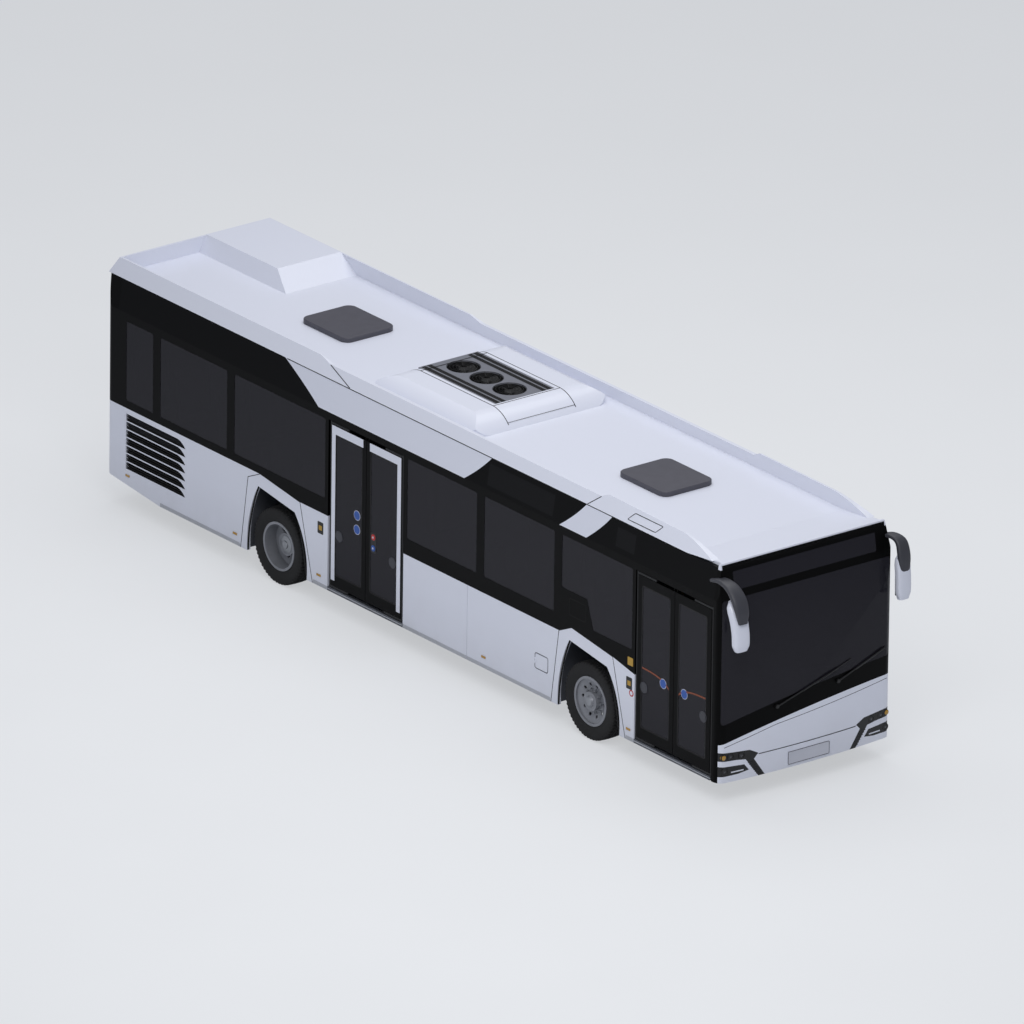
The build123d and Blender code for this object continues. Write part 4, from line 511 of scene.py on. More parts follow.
class Shape:
    """Surfaces of one piece, gathered as numpy grids and made into one mesh."""

    def __init__(self) -> None:
        """Starts without any surface."""
        self.points: list[np.ndarray] = []
        self.faces: list[tuple[int, ...]] = []
        self.count = 0

    def grid(self, net: np.ndarray, close_u: bool = False, close_v: bool = False,
             caps: bool = False) -> None:
        """Adds a net of quads.

        Args:
            net: points as an array of rows, columns and XYZ.
            close_u: whether the last row meets the first.
            close_v: whether the last column meets the first.
            caps: whether the first and the last row are closed with a face.
        """
        rows, columns = net.shape[:2]
        index = self.count + np.arange(rows * columns).reshape(rows, columns)
        down = index if not close_u else np.vstack([index, index[:1]])
        across = down if not close_v else np.hstack([down, down[:, :1]])
        quads = np.stack([across[:-1, :-1], across[:-1, 1:], across[1:, 1:], across[1:, :-1]], axis=-1)
        self.faces += [tuple(q) for q in quads.reshape(-1, 4).tolist()]
        if caps:
            self.faces += [tuple(index[0].tolist()), tuple(index[-1].tolist()[::-1])]
        self.points.append(net.reshape(-1, 3))
        self.count += rows * columns

    def sweep(self, profile: np.ndarray, path: Sequence[Sequence[float]], up: Sequence[float] = (0, 0, 1),
              close: bool = False, sizes: Optional[np.ndarray] = None) -> None:
        """Carries a closed profile along a path.

        Each profile point (a, b) lies at path + a * side + b * top, where top is the given up
        direction made square to the path and side is the path's direction crossed with it.

        Args:
            profile: outline as an array of (a, b).
            path: points in metres.
            up: rough direction of b.
            close: whether the path returns to its start.
            sizes: factor of (a, b) at each point of the path.
        """
        line = np.asarray(path, float)
        if close:
            ahead = np.roll(line, -1, axis=0) - np.roll(line, 1, axis=0)
        else:
            ahead = np.gradient(line, axis=0)
        ahead /= np.linalg.norm(ahead, axis=1, keepdims=True)
        top = np.asarray(up, float) - (ahead @ np.asarray(up, float))[:, None] * ahead
        top /= np.linalg.norm(top, axis=1, keepdims=True)
        side = np.cross(ahead, top)
        outline = np.broadcast_to(np.asarray(profile, float), (len(line), len(profile), 2))
        if sizes is not None:
            outline = outline * np.asarray(sizes, float)[:, None, :]
        net = line[:, None] + outline[..., :1] * side[:, None] + outline[..., 1:] * top[:, None]
        self.grid(net, close_u=close, close_v=True, caps=not close)

    def slab(self, corner: Sequence[float], other: Sequence[float], radius: float = 0.0) -> None:
        """Block between opposite corners: a rounded outline of Y and Z carried along X."""
        (x0, x1), (y0, y1), (z0, z1) = map(sorted, zip(corner, other))
        outline = rounded(y1 - y0, z1 - z0, radius)
        outline = outline + np.array([(y0 + y1) / 2, (z0 + z1) / 2])
        ends = [np.column_stack([np.full(len(outline), x), outline]) for x in (x0, x1)]
        self.grid(np.stack(ends), close_v=True, caps=True)

    def pillow(self, centre: Sequence[float], size: Sequence[float], square: float = 0.35,
               tilt_deg: float = 0.0, rows: int = 13, columns: int = 28) -> None:
        """Stuffed pad: a superellipsoid, whose flat sides swell towards the middle.

        Args:
            centre: middle of the pad.
            size: full width, depth and height.
            square: exponent, from 1 for an egg to 0 for a box.
            tilt_deg: turn about X.
            rows: rings from pole to pole.
            columns: points of each ring.
        """
        polar = np.linspace(-math.pi / 2, math.pi / 2, rows)[:, None]
        turn = np.linspace(0, math.tau, columns, endpoint=False)[None, :]
        x = signed_power(np.cos(polar), square) * signed_power(np.cos(turn), square) * size[0] / 2
        y = signed_power(np.cos(polar), square) * signed_power(np.sin(turn), square) * size[1] / 2
        z = signed_power(np.sin(polar), square) * np.ones_like(turn) * size[2] / 2
        a = math.radians(tilt_deg)
        net = np.stack([x, y * math.cos(a) - z * math.sin(a), y * math.sin(a) + z * math.cos(a)], axis=-1)
        self.grid(net + np.asarray(centre, float), close_v=True, caps=True)

    def disc(self, centre: Sequence[float], axis: Sequence[float], rings: Sequence[tuple[float, float]],
             sides: int = 40) -> None:
        """Turned shape about an axis.

        Args:
            centre: origin of the profile.
            axis: direction of the turned axis.
            rings: pairs of (place along the axis, radius) from end to end.
            sides: points of each ring.
        """
        turn = np.linspace(0, math.tau, sides, endpoint=False)
        way = Vector(axis).normalized()
        across = way.orthogonal().normalized()
        other = way.cross(across)
        circle = np.cos(turn)[:, None] * np.array(across) + np.sin(turn)[:, None] * np.array(other)
        middle, way = np.asarray(centre), np.array(way)
        net = np.stack([middle + way * along + circle * radius for along, radius in rings])
        self.grid(net, close_v=True, caps=True)

    def piece(self, name: str, finish: Finish, slot: str, body: str = "body",
              smooth_deg: float = 35.0) -> bpy.types.Object:
        """Makes the object, dresses it and lets it ride on a body.

        Args:
            name: the piece's name.
            finish: what it is made of.
            slot: not used.
            body: the CAD body that it moves with.
            smooth_deg: edges sharper than this stay sharp.

        Returns:
            The new object.
        """
        mesh = bpy.data.meshes.new(name)
        mesh.from_pydata(np.concatenate(self.points).tolist(), [], self.faces)
        work = bmesh.new()
        work.from_mesh(mesh)
        bmesh.ops.recalc_face_normals(work, faces=work.faces)
        work.to_mesh(mesh)
        work.free()
        mesh.shade_smooth()
        mesh.set_sharp_from_angle(angle=math.radians(smooth_deg))
        mesh.materials.append(material(finish))
        item = bpy.data.objects.new(name, mesh)
        bpy.context.scene.collection.objects.link(item)
        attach(item, body)
        return item


def signed_power(value: np.ndarray, exponent: float) -> np.ndarray:
    """Power of the size of a value, with the value's sign."""
    return np.sign(value) * np.abs(value) ** exponent


def spline(points: Sequence[Sequence[float]], count: int = 24) -> np.ndarray:
    """Smooth path through points: a cubic with slopes from each point's neighbours."""
    knots = np.asarray(points, float)
    slopes = np.gradient(knots, axis=0)
    t = np.linspace(0, len(knots) - 1, count)
    k = np.minimum(t.astype(int), len(knots) - 2)
    f = (t - k)[:, None]
    p0, p1, m0, m1 = knots[k], knots[k + 1], slopes[k], slopes[k + 1]
    return ((2 * f**3 - 3 * f**2 + 1) * p0 + (f**3 - 2 * f**2 + f) * m0
            + (3 * f**2 - 2 * f**3) * p1 + (f**3 - f**2) * m1)


def arc(first: Sequence[float], middle: Sequence[float], last: Sequence[float],
        count: int = 14) -> np.ndarray:
    """Points of the circle through three points of a plane, from the first to the last.

    The centre solves 2 * (p - first) . centre = |p|^2 - |first|^2 for the other two points.
    """
    a, b, c = (np.asarray(p, float) for p in (first, middle, last))
    centre = np.linalg.solve(2 * np.array([b - a, c - a]), [b @ b - a @ a, c @ c - a @ a])
    start, end = (math.atan2(*(p - centre)[::-1]) for p in (a, c))
    turn = np.linspace(start, end, count)
    return centre + np.hypot(*(a - centre)) * np.column_stack([np.cos(turn), np.sin(turn)])


def rounded(width: float, height: float, radius: float = 0.0, steps: int = 4) -> np.ndarray:
    """Outline of a rectangle about its middle, its corners rounded."""
    if radius <= 0:
        return np.array([(-1, -1), (1, -1), (1, 1), (-1, 1)]) * (width / 2, height / 2)
    radius = min(radius, 0.499 * width, 0.499 * height)
    turn = np.linspace(0, math.pi / 2, steps + 1)
    corners = []
    for i, (a, b) in enumerate([(1, 1), (-1, 1), (-1, -1), (1, -1)]):
        middle = np.array([a * (width / 2 - radius), b * (height / 2 - radius)])
        corners.append(middle + radius * np.column_stack([np.cos(turn + i * math.pi / 2),
                                                          np.sin(turn + i * math.pi / 2)]))
    return np.concatenate(corners)


def ring(radius: float, sides: int = 12) -> np.ndarray:
    """Round outline."""
    turn = np.linspace(0, math.tau, sides, endpoint=False)
    return radius * np.column_stack([np.cos(turn), np.sin(turn)])


def loop(corners: Sequence[Sequence[float]], radius: float, steps: int = 5,
         closed: bool = True) -> np.ndarray:
    """Path through corners, each rounded off by a quadratic curve. An open path keeps its ends."""
    points = np.asarray(corners, float)
    t = np.linspace(0, 1, steps + 1)[:, None]
    path = []
    for before, here, after in zip(np.roll(points, 1, axis=0), points, np.roll(points, -1, axis=0)):
        start = here + (before - here) / np.linalg.norm(before - here) * radius
        end = here + (after - here) / np.linalg.norm(after - here) * radius
        path.append((1 - t) ** 2 * start + 2 * t * (1 - t) * here + t**2 * end)
    if not closed:
        path = [points[:1]] + path[1:-1] + [points[-1:]]
    return np.concatenate(path)


@dataclass
class Tyres:
    """Tyres with a cut tread, in place of the plain CAD rings."""

    blocks: int = 56
    groove: float = 0.011
    grooves: tuple[float, ...] = (-0.066, -0.023, 0.023, 0.066)

    def section(self) -> tuple[np.ndarray, np.ndarray]:
        """Half-section from bead to bead, as X and radius.

        The wall bulges as a sine between the rim flange and the shoulder, the shoulder is
        a quarter of an ellipse, and the tread is a shallow arc.
        """
        rise = np.linspace(0, 1, 12)
        wall_r = 0.300 + rise * 0.135
        wall_x = 0.1090 + 0.0300 * np.sin(rise * math.pi / 2) ** 0.7
        turn = np.linspace(0, math.pi / 2, 7)[1:]
        shoulder_x = 0.117 + 0.022 * np.cos(turn)
        shoulder_r = 0.435 + 0.039 * np.sin(turn)
        tread_x = np.linspace(0.117, -0.117, 64)[1:-1]
        tread_r = TYRE_R - 0.0045 * (tread_x / 0.117) ** 2
        x = np.concatenate([wall_x, shoulder_x, tread_x, -shoulder_x[::-1], -wall_x[::-1]])
        r = np.concatenate([wall_r, shoulder_r, tread_r, shoulder_r[::-1], wall_r[::-1]])
        return x, r

    def net(self, centre_x: float, station: float) -> np.ndarray:
        """Surface of one tyre: the section turned, less grooves round and across."""
        x, r = self.section()
        turn = np.linspace(0, math.tau, self.blocks * 4, endpoint=False)
        around = np.zeros_like(x)
        for place in self.grooves:
            around = np.maximum(around, np.clip(1.6 - np.abs(x - place) / 0.0036, 0, 1))
        phase = (turn * self.blocks / math.tau) % 1.0
        cross = (phase < 0.26).astype(float)
        outer = np.clip((np.abs(x) - 0.070) / 0.004, 0, 1) * (r > 0.440)
        depth = np.maximum(around[None, :], cross[:, None] * outer[None, :]) * self.groove
        radius = r[None, :] - depth
        y = radius * np.cos(turn)[:, None]
        z = radius * np.sin(turn)[:, None]
        wide = np.broadcast_to(x[None, :], radius.shape)
        return np.stack([centre_x + wide, at(station) + y, TYRE_R + z], axis=-1)

    def build(self) -> None:
        """Tyres of all four corners, twins at the rear."""
        for side, sign in (("right", -1), ("left", 1)):
            front = Shape()
            front.grid(self.net(sign * WHEEL_X, FRONT_AXLE_S), close_u=True)
            item = front.piece(f"front_{side}_tyre_tread", Finish.TYRE, "rubber", f"front_{side}_wheel")
            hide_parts(f"front_{side}_tyre")
            rear = Shape()
            for x in (WHEEL_X, WHEEL_X - TWIN_SPACING):
                rear.grid(self.net(sign * x, REAR_AXLE_S), close_u=True)
            item = rear.piece(f"rear_{side}_tyre_treads", Finish.TYRE, "rubber", f"rear_{side}_wheels")
            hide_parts(f"rear_{side}_tyres")


@dataclass
class WheelFittings:
    """Nuts and hub cap of each wheel."""

    nuts: int = 10
    front_circle: float = 0.146
    rear_circle: float = 0.1555

    def nut_ring(self, shape: Shape, x: float, sign: int, station: float, radius: float) -> None:
        """Hexagon nuts with their studs on a circle."""
        for i in range(self.nuts):
            angle = math.tau * i / self.nuts
            y, z = at(station) + radius * math.cos(angle), TYRE_R + radius * math.sin(angle)
            shape.disc((x, y, z), (sign, 0, 0), [(0, 0.0185), (0.006, 0.0185)], 20)
            shape.disc((x, y, z), (sign, 0, 0), [(0.006, 0.0155), (0.026, 0.0155), (0.028, 0.012)], 6)
            shape.disc((x, y, z), (sign, 0, 0), [(0.020, 0.0085), (0.040, 0.0085), (0.042, 0.006)], 12)

    def build(self) -> None:
        """Fittings of the four outer wheels."""
        for side, sign in (("right", -1), ("left", 1)):
            front = Shape()
            self.nut_ring(front, sign * (WHEEL_X + 0.060), sign, FRONT_AXLE_S, self.front_circle)
            front.disc((sign * (WHEEL_X + 0.1405), at(FRONT_AXLE_S), TYRE_R), (sign, 0, 0),
                       [(-0.002, 0.052), (0.003, 0.050), (0.006, 0.040)], 36)
            front.piece(f"front_{side}_wheel_nuts", Finish.STEEL, "wheel_steel", f"front_{side}_wheel")
            rear = Shape()
            self.nut_ring(rear, sign * (WHEEL_X - 0.088), sign, REAR_AXLE_S, self.rear_circle)
            rear.disc((sign * (WHEEL_X + 0.010), at(REAR_AXLE_S), TYRE_R), (sign, 0, 0),
                      [(-0.002, 0.112), (0.004, 0.110), (0.010, 0.090), (0.012, 0.050), (0.020, 0.046)])
            rear.piece(f"rear_{side}_wheel_nuts", Finish.STEEL, "wheel_steel", f"rear_{side}_wheels")


@dataclass(frozen=True)
class LeafPlace:
    """Where one door leaf stands: its outer and leading edge as stations."""

    name: str
    outer: float
    leading: float

    @property
    def heading(self) -> int:
        """+1 where the leaf runs aft from its outer edge."""
        return 1 if self.leading > self.outer else -1


def leaf_places() -> list[LeafPlace]:
    """The four leaves of both doors."""
    places = []
    for number, (start, end, pocket) in enumerate((DOOR_1, DOOR_2), 1):
        width = (end - start - 2 * pocket - LEAF_GAP) / 2
        places.append(LeafPlace(f"door{number}_front", start + pocket, start + pocket + width))
        places.append(LeafPlace(f"door{number}_rear", end - pocket, end - pocket - width))
    return places


@dataclass
class DoorTrim:
    """Seals, discs, films and covers of the door leaves, and the entrance sills."""

    face: float = -HALF + LEAF_FACE
    glass: float = face + 0.0035
    films_at: tuple[tuple[str, float, float], ...] = (
        ("door1_front", 0.737, 1.180), ("door1_rear", 1.134, 1.180),
        ("door2_rear", 6.997, 1.395), ("door2_rear", 6.997, 1.215))
    key_z: float = 1.018
    button_s: float = 6.675
    cover_foot: float = 0.430
    cover_lintel: float = 2.288

    def panel(self, shape: Shape, along: tuple[float, float], z: tuple[float, float]) -> None:
        """Flat cover on a leaf's outer face."""
        shape.slab((self.face - 0.003, at(along[0]), z[0]), (self.face, at(along[1]), z[1]), 0.002)

    def seal(self, shape: Shape, leaf: LeafPlace) -> None:
        """Rubber bead round the leaf's glass, a rounded profile along a closed path."""
        s0, s1 = leaf.outer + leaf.heading * LEAF_STILE, leaf.leading - leaf.heading * LEAF_STILE
        x = self.face + 0.001
        low, high = LEAF_GLASS_Z
        corners = [(x, at(s0), low), (x, at(s1), low), (x, at(s1), high), (x, at(s0), high)]
        shape.sweep(rounded(0.016, 0.005, 0.002), loop(corners, 0.03), (-1, 0, 0), close=True)

    def edges(self, shape: Shape, leaf: LeafPlace) -> None:
        """Finger seals along the leading edge and the outer edge."""
        lead = leaf.leading + leaf.heading * 0.0015
        for s, half in ((lead, 0.003), (leaf.outer - leaf.heading * 0.002, 0.002)):
            shape.slab((-HALF + 0.010, at(s - half), LEAF_Z[0]),
                       (-HALF + 0.034, at(s + half), LEAF_Z[1]), 0.001)

    def stripe(self, leaf: LeafPlace) -> Shape:
        """Thin orange film on the glass: it falls as an exponential towards the doorway's middle."""
        shape = Shape()
        inset = leaf.heading * LEAF_STILE
        s = np.linspace(leaf.outer + inset, leaf.leading - inset, 18)
        off = np.abs(s - (DOOR_1[0] + DOOR_1[1]) / 2)
        z = 1.258 - 0.23 * np.exp(-off / 0.135)
        x = np.full_like(s, self.face + 0.0022)
        shape.sweep(rounded(0.020, 0.0012), np.column_stack([x, s + FRONT_Y, z]), (-1, 0, 0))
        return shape

    def build(self) -> None:
        """Trim of the four leaves and the two sills."""
        for leaf in leaf_places():
            body = leaf.name + "_leaf"
            second = leaf.name.startswith("door2")
            rubber = Shape()
            self.seal(rubber, leaf)
            self.edges(rubber, leaf)
            rubber.piece(leaf.name + "_seals", Finish.RUBBER, "black_paint", body)
            disc = Shape()
            inset = 0.156 if second else 0.128
            disc.disc((self.glass, at(leaf.outer + leaf.heading * inset), self.key_z), (-1, 0, 0),
                      [(0, 0.068), (0.0055, 0.068), (0.0075, 0.065), (0.005, 0.056), (0.005, 0.048),
                       (0.0085, 0.045), (0.0085, 0.006)])
            disc.piece(leaf.name + "_key_disc", Finish.MIRROR_BLACK, "black_paint", body)
            self.films(leaf)
            if second:
                white = Shape()
                outer = leaf.outer + leaf.heading * 0.004
                inner = leaf.outer + leaf.heading * (LEAF_STILE - 0.006)
                end, top = leaf.leading - leaf.heading * 0.060, LEAF_Z[1] - 0.004
                self.panel(white, (outer, inner), (self.cover_foot, top))
                self.panel(white, (inner, end), (self.cover_lintel, top))
                white.piece(leaf.name + "_white_cover", Finish.WHITE, "white_paint", body)
            else:
                stripe = self.stripe(leaf)
                stripe.piece(leaf.name + "_orange_film", Finish.STRIPE, "amber_lens", body)
        self.buttons()
        self.sills()

    def films(self, leaf: LeafPlace) -> None:
        """Plain blue discs on the glass, where the real doors carry sign stickers."""
        spots = [(s, z) for name, s, z in self.films_at if name == leaf.name]
        if not spots:
            return
        film, edge = Shape(), Shape()
        for s, z in spots:
            film.disc((self.glass, at(s), z), (-1, 0, 0), [(0, 0.056), (0.0022, 0.056)])
            edge.disc((self.glass, at(s), z), (-1, 0, 0), [(0, 0.061), (0.0014, 0.061)])
        film.piece(leaf.name + "_blue_discs", Finish.DISC, "black_paint", leaf.name + "_leaf")
        edge.piece(leaf.name + "_disc_edges", Finish.WHITE, "white_paint", leaf.name + "_leaf")

    def buttons(self) -> None:
        """Request buttons on the middle door's front leaf."""
        body = "door2_front_leaf"
        plate = Shape()
        plate.slab((self.face + 0.001, at(6.618), 1.025), (self.face + 0.007, at(6.732), 1.280), 0.03)
        plate.piece("door2_button_plate", Finish.TRIM, "black_paint", body)
        for z, name, finish in ((1.221, "upper", Finish.RED), (1.083, "lower", Finish.DISC)):
            cap = Shape()
            cap.disc((self.face + 0.001, at(self.button_s), z), (-1, 0, 0),
                     [(0, 0.038), (0.005, 0.036), (0.007, 0.026)], 28)
            cap.piece(f"door2_{name}_button", finish, "black_paint", body)
            middle = Shape()
            middle.disc((self.face - 0.0055, at(self.button_s), z), (-1, 0, 0),
                        [(0, 0.014), (0.002, 0.012)], 20)
            middle.piece(f"door2_{name}_button_face", Finish.PLATE, "black_paint", body)

    def sills(self) -> None:
        """Aluminium tread strips at the edge of both entrances."""
        strip = Shape()
        for start, end, _ in (DOOR_1, DOOR_2):
            strip.slab((-HALF - 0.002, at(start + 0.012), 0.291),
                       (-HALF + 0.004, at(end - 0.012), 0.303), 0.002)
            for i in range(5):
                x = -HALF + 0.006 + i * 0.010
                strip.slab((x, at(start + 0.03), FLOOR_Z - 0.001),
                           (x + 0.005, at(end - 0.03), FLOOR_Z + 0.002))
        strip.piece("entrance_sill_strips", Finish.ALU, "rail_steel")


@dataclass
class SideTrim:
    """Rub strips, louvre blades, joint lines and flap outlines of both sides."""

    strip_z: tuple[float, float] = (0.272, 0.318)
    joint_z: tuple[float, float] = (1.211, 1.3205)  # upper edge and peak of the arch trims
    slots: int = 7
    slot_z: float = 0.544
    slot_pitch: float = 0.103
    slot_s: tuple[float, float] = (10.361, 11.540)
    blade_rises: tuple[float, ...] = (0.014, 0.044, 0.074)
    flaps: tuple[tuple[float, ...], ...] = ((2.593, 2.908, 1.470, 1.680), (3.297, 3.545, 0.597, 0.792))
    plates: tuple[tuple[float, float], ...] = ((7.695, 1.015), (1.760, 0.985))
    films: tuple[tuple[float, float, float], ...] = (
        (7.695, 1.015, 0.030), (1.760, 0.985, 0.030), (1.742, 1.262, 0.050))
    round_sign: tuple[float, float] = (1.716, 0.872)

    def spans(self, sign: int) -> list[tuple[float, float]]:
        """Stations of the skirt's lower edge between doors and arches."""
        spans = [(3.244, 4.842), (4.856, 6.080), (7.560, 7.832), (9.266, 10.850)]
        if sign > 0:
            return [(0.21, 1.81), (3.244, 4.842), (4.856, 6.810), (6.826, 7.832), (9.266, 10.850)]
        return [(1.664, 1.81)] + spans

    def line(self, shape: Shape, sign: int, path: Sequence[tuple[float, float]]) -> None:
        """Thin joint line on the side surface, through stations and heights."""
        points = [(sign * (HALF + 0.0004), at(s), z) for s, z in path]
        shape.sweep(rounded(0.009, 0.0010), points, (sign, 0, 0))

    def build(self) -> None:
        """Trim of both sides."""
        strips, lines = Shape(), Shape()
        for sign in (-1, 1):
            for s0, s1 in self.spans(sign):
                strips.slab((sign * HALF, at(s0), self.strip_z[0]),
                            (sign * (HALF + 0.003), at(s1), self.strip_z[1]), 0.001)
            for wheel in (FRONT_AXLE_S, REAR_AXLE_S):
                foot, (top, peak) = self.strip_z[0], self.joint_z
                self.line(lines, sign, [(wheel + 0.672, foot), (wheel + 0.5378, top)])
                self.line(lines, sign, [(wheel - 0.739, foot), (wheel - 0.482, top)])
                self.line(lines, sign, [
                    (wheel + 0.538, top), (wheel + 0.300, peak), (wheel - 0.482, top)])
        strips.piece("skirt_rub_strips", Finish.ALU, "white_paint")
        lines.piece("arch_trim_joints", Finish.SEAM, "black_paint")
        self.lips()
        self.louvres()
        self.service_flap()
        self.signs()

    def lips(self) -> None:
        """Rubber lips round the wheel arches, along the opening's curve."""
        shape = Shape()
        for sign in (-1, 1):
            for wheel in (FRONT_AXLE_S, REAR_AXLE_S):
                t = np.linspace(0, 1, 12)
                rear = np.column_stack([0.540 - 0.203 * t**1.9, 0.275 + 0.880 * t])
                top = np.column_stack([0.337 - 0.715 * t[1:], 1.155 - 0.105 * t[1:]])
                front = np.column_stack([-0.378 - 0.242 * t[1:] ** 0.62, 1.050 - 0.775 * t[1:]])
                path = np.concatenate([rear, top, front])
                points = [(sign * (HALF - 0.012), at(wheel + a), z + 0.004) for a, z in path]
                shape.sweep(rounded(0.016, 0.020, 0.005), points, (sign, 0, 0))
        shape.piece("arch_lips", Finish.RUBBER, "trim_plastic")

    def louvres(self) -> None:
        """Slanted blades in the slots of the engine grille, and a ledge on each slot's foot."""
        shape = Shape()
        s0, s1 = self.slot_s
        outer, inner = -HALF + 0.0007, -HALF + 0.050
        flat = np.array([(outer, at(s0)), (inner, at(s0)), (inner, at(s1)), (outer, at(s1))])
        profile = rounded(0.004, 0.034, 0.001) @ np.array([[0.77, 0.64], [-0.64, 0.77]])
        for i in range(self.slots):
            low = self.slot_z + self.slot_pitch * i
            for rise in self.blade_rises:
                ends = (10.400 + 1.6 * rise, s1)
                shape.sweep(profile, [(-HALF + 0.020, at(s), low + rise) for s in ends])
            levels = [np.column_stack([flat, np.full(4, low + z)]) for z in (0.0003, 0.0023)]
            shape.grid(np.stack(levels), close_v=True, caps=True)
        shape.piece("louvre_blades", Finish.MESH, "trim_plastic")
        backing = Shape()
        backing.slab((-HALF + 0.0505, at(10.34), 0.530), (-HALF + 0.0535, at(11.56), 1.275))
        backing.piece("louvre_backing", Finish.MESH, "trim_plastic")

    def service_flap(self) -> None:
        """Joint lines of the flap in the stepped sill and of the fuel flap."""
        shape = Shape()
        for s0, s1, z0, z1 in self.flaps:
            corners = [(-HALF - 0.0004, at(s), z) for s, z in ((s0, z0), (s1, z0), (s1, z1), (s0, z1))]
            shape.sweep(rounded(0.007, 0.0010), loop(corners, 0.03), (-1, 0, 0), close=True)
        shape.piece("flap_joints", Finish.SEAM, "black_paint")

    def signs(self) -> None:
        """Blank sign plates and a blank round sign beside the doors."""
        dark, yellow = Shape(), Shape()
        for s, z in self.plates:
            dark.slab((-HALF - 0.0022, at(s - 0.055), z - 0.075),
                      (-HALF, at(s + 0.055), z + 0.075), 0.012)
        for s, z, half in self.films:
            yellow.slab((-HALF - 0.0030, at(s - half), z - half),
                        (-HALF, at(s + half), z + half), 0.006)
        rim, middle = Shape(), Shape()
        centre = (-HALF, at(self.round_sign[0]), self.round_sign[1])
        rim.disc(centre, (-1, 0, 0), [(0, 0.042), (0.002, 0.041)], 32)
        middle.disc(centre, (-1, 0, 0), [(0, 0.026), (0.003, 0.025)], 32)
        rim.piece("round_sign_ring", Finish.RED, "red_lens")
        middle.piece("round_sign_blank", Finish.WHITE, "white_paint")
        dark.piece("sign_plates", Finish.TRIM, "black_paint")
        yellow.piece("blank_sign_films", Finish.YELLOW, "amber_lens")


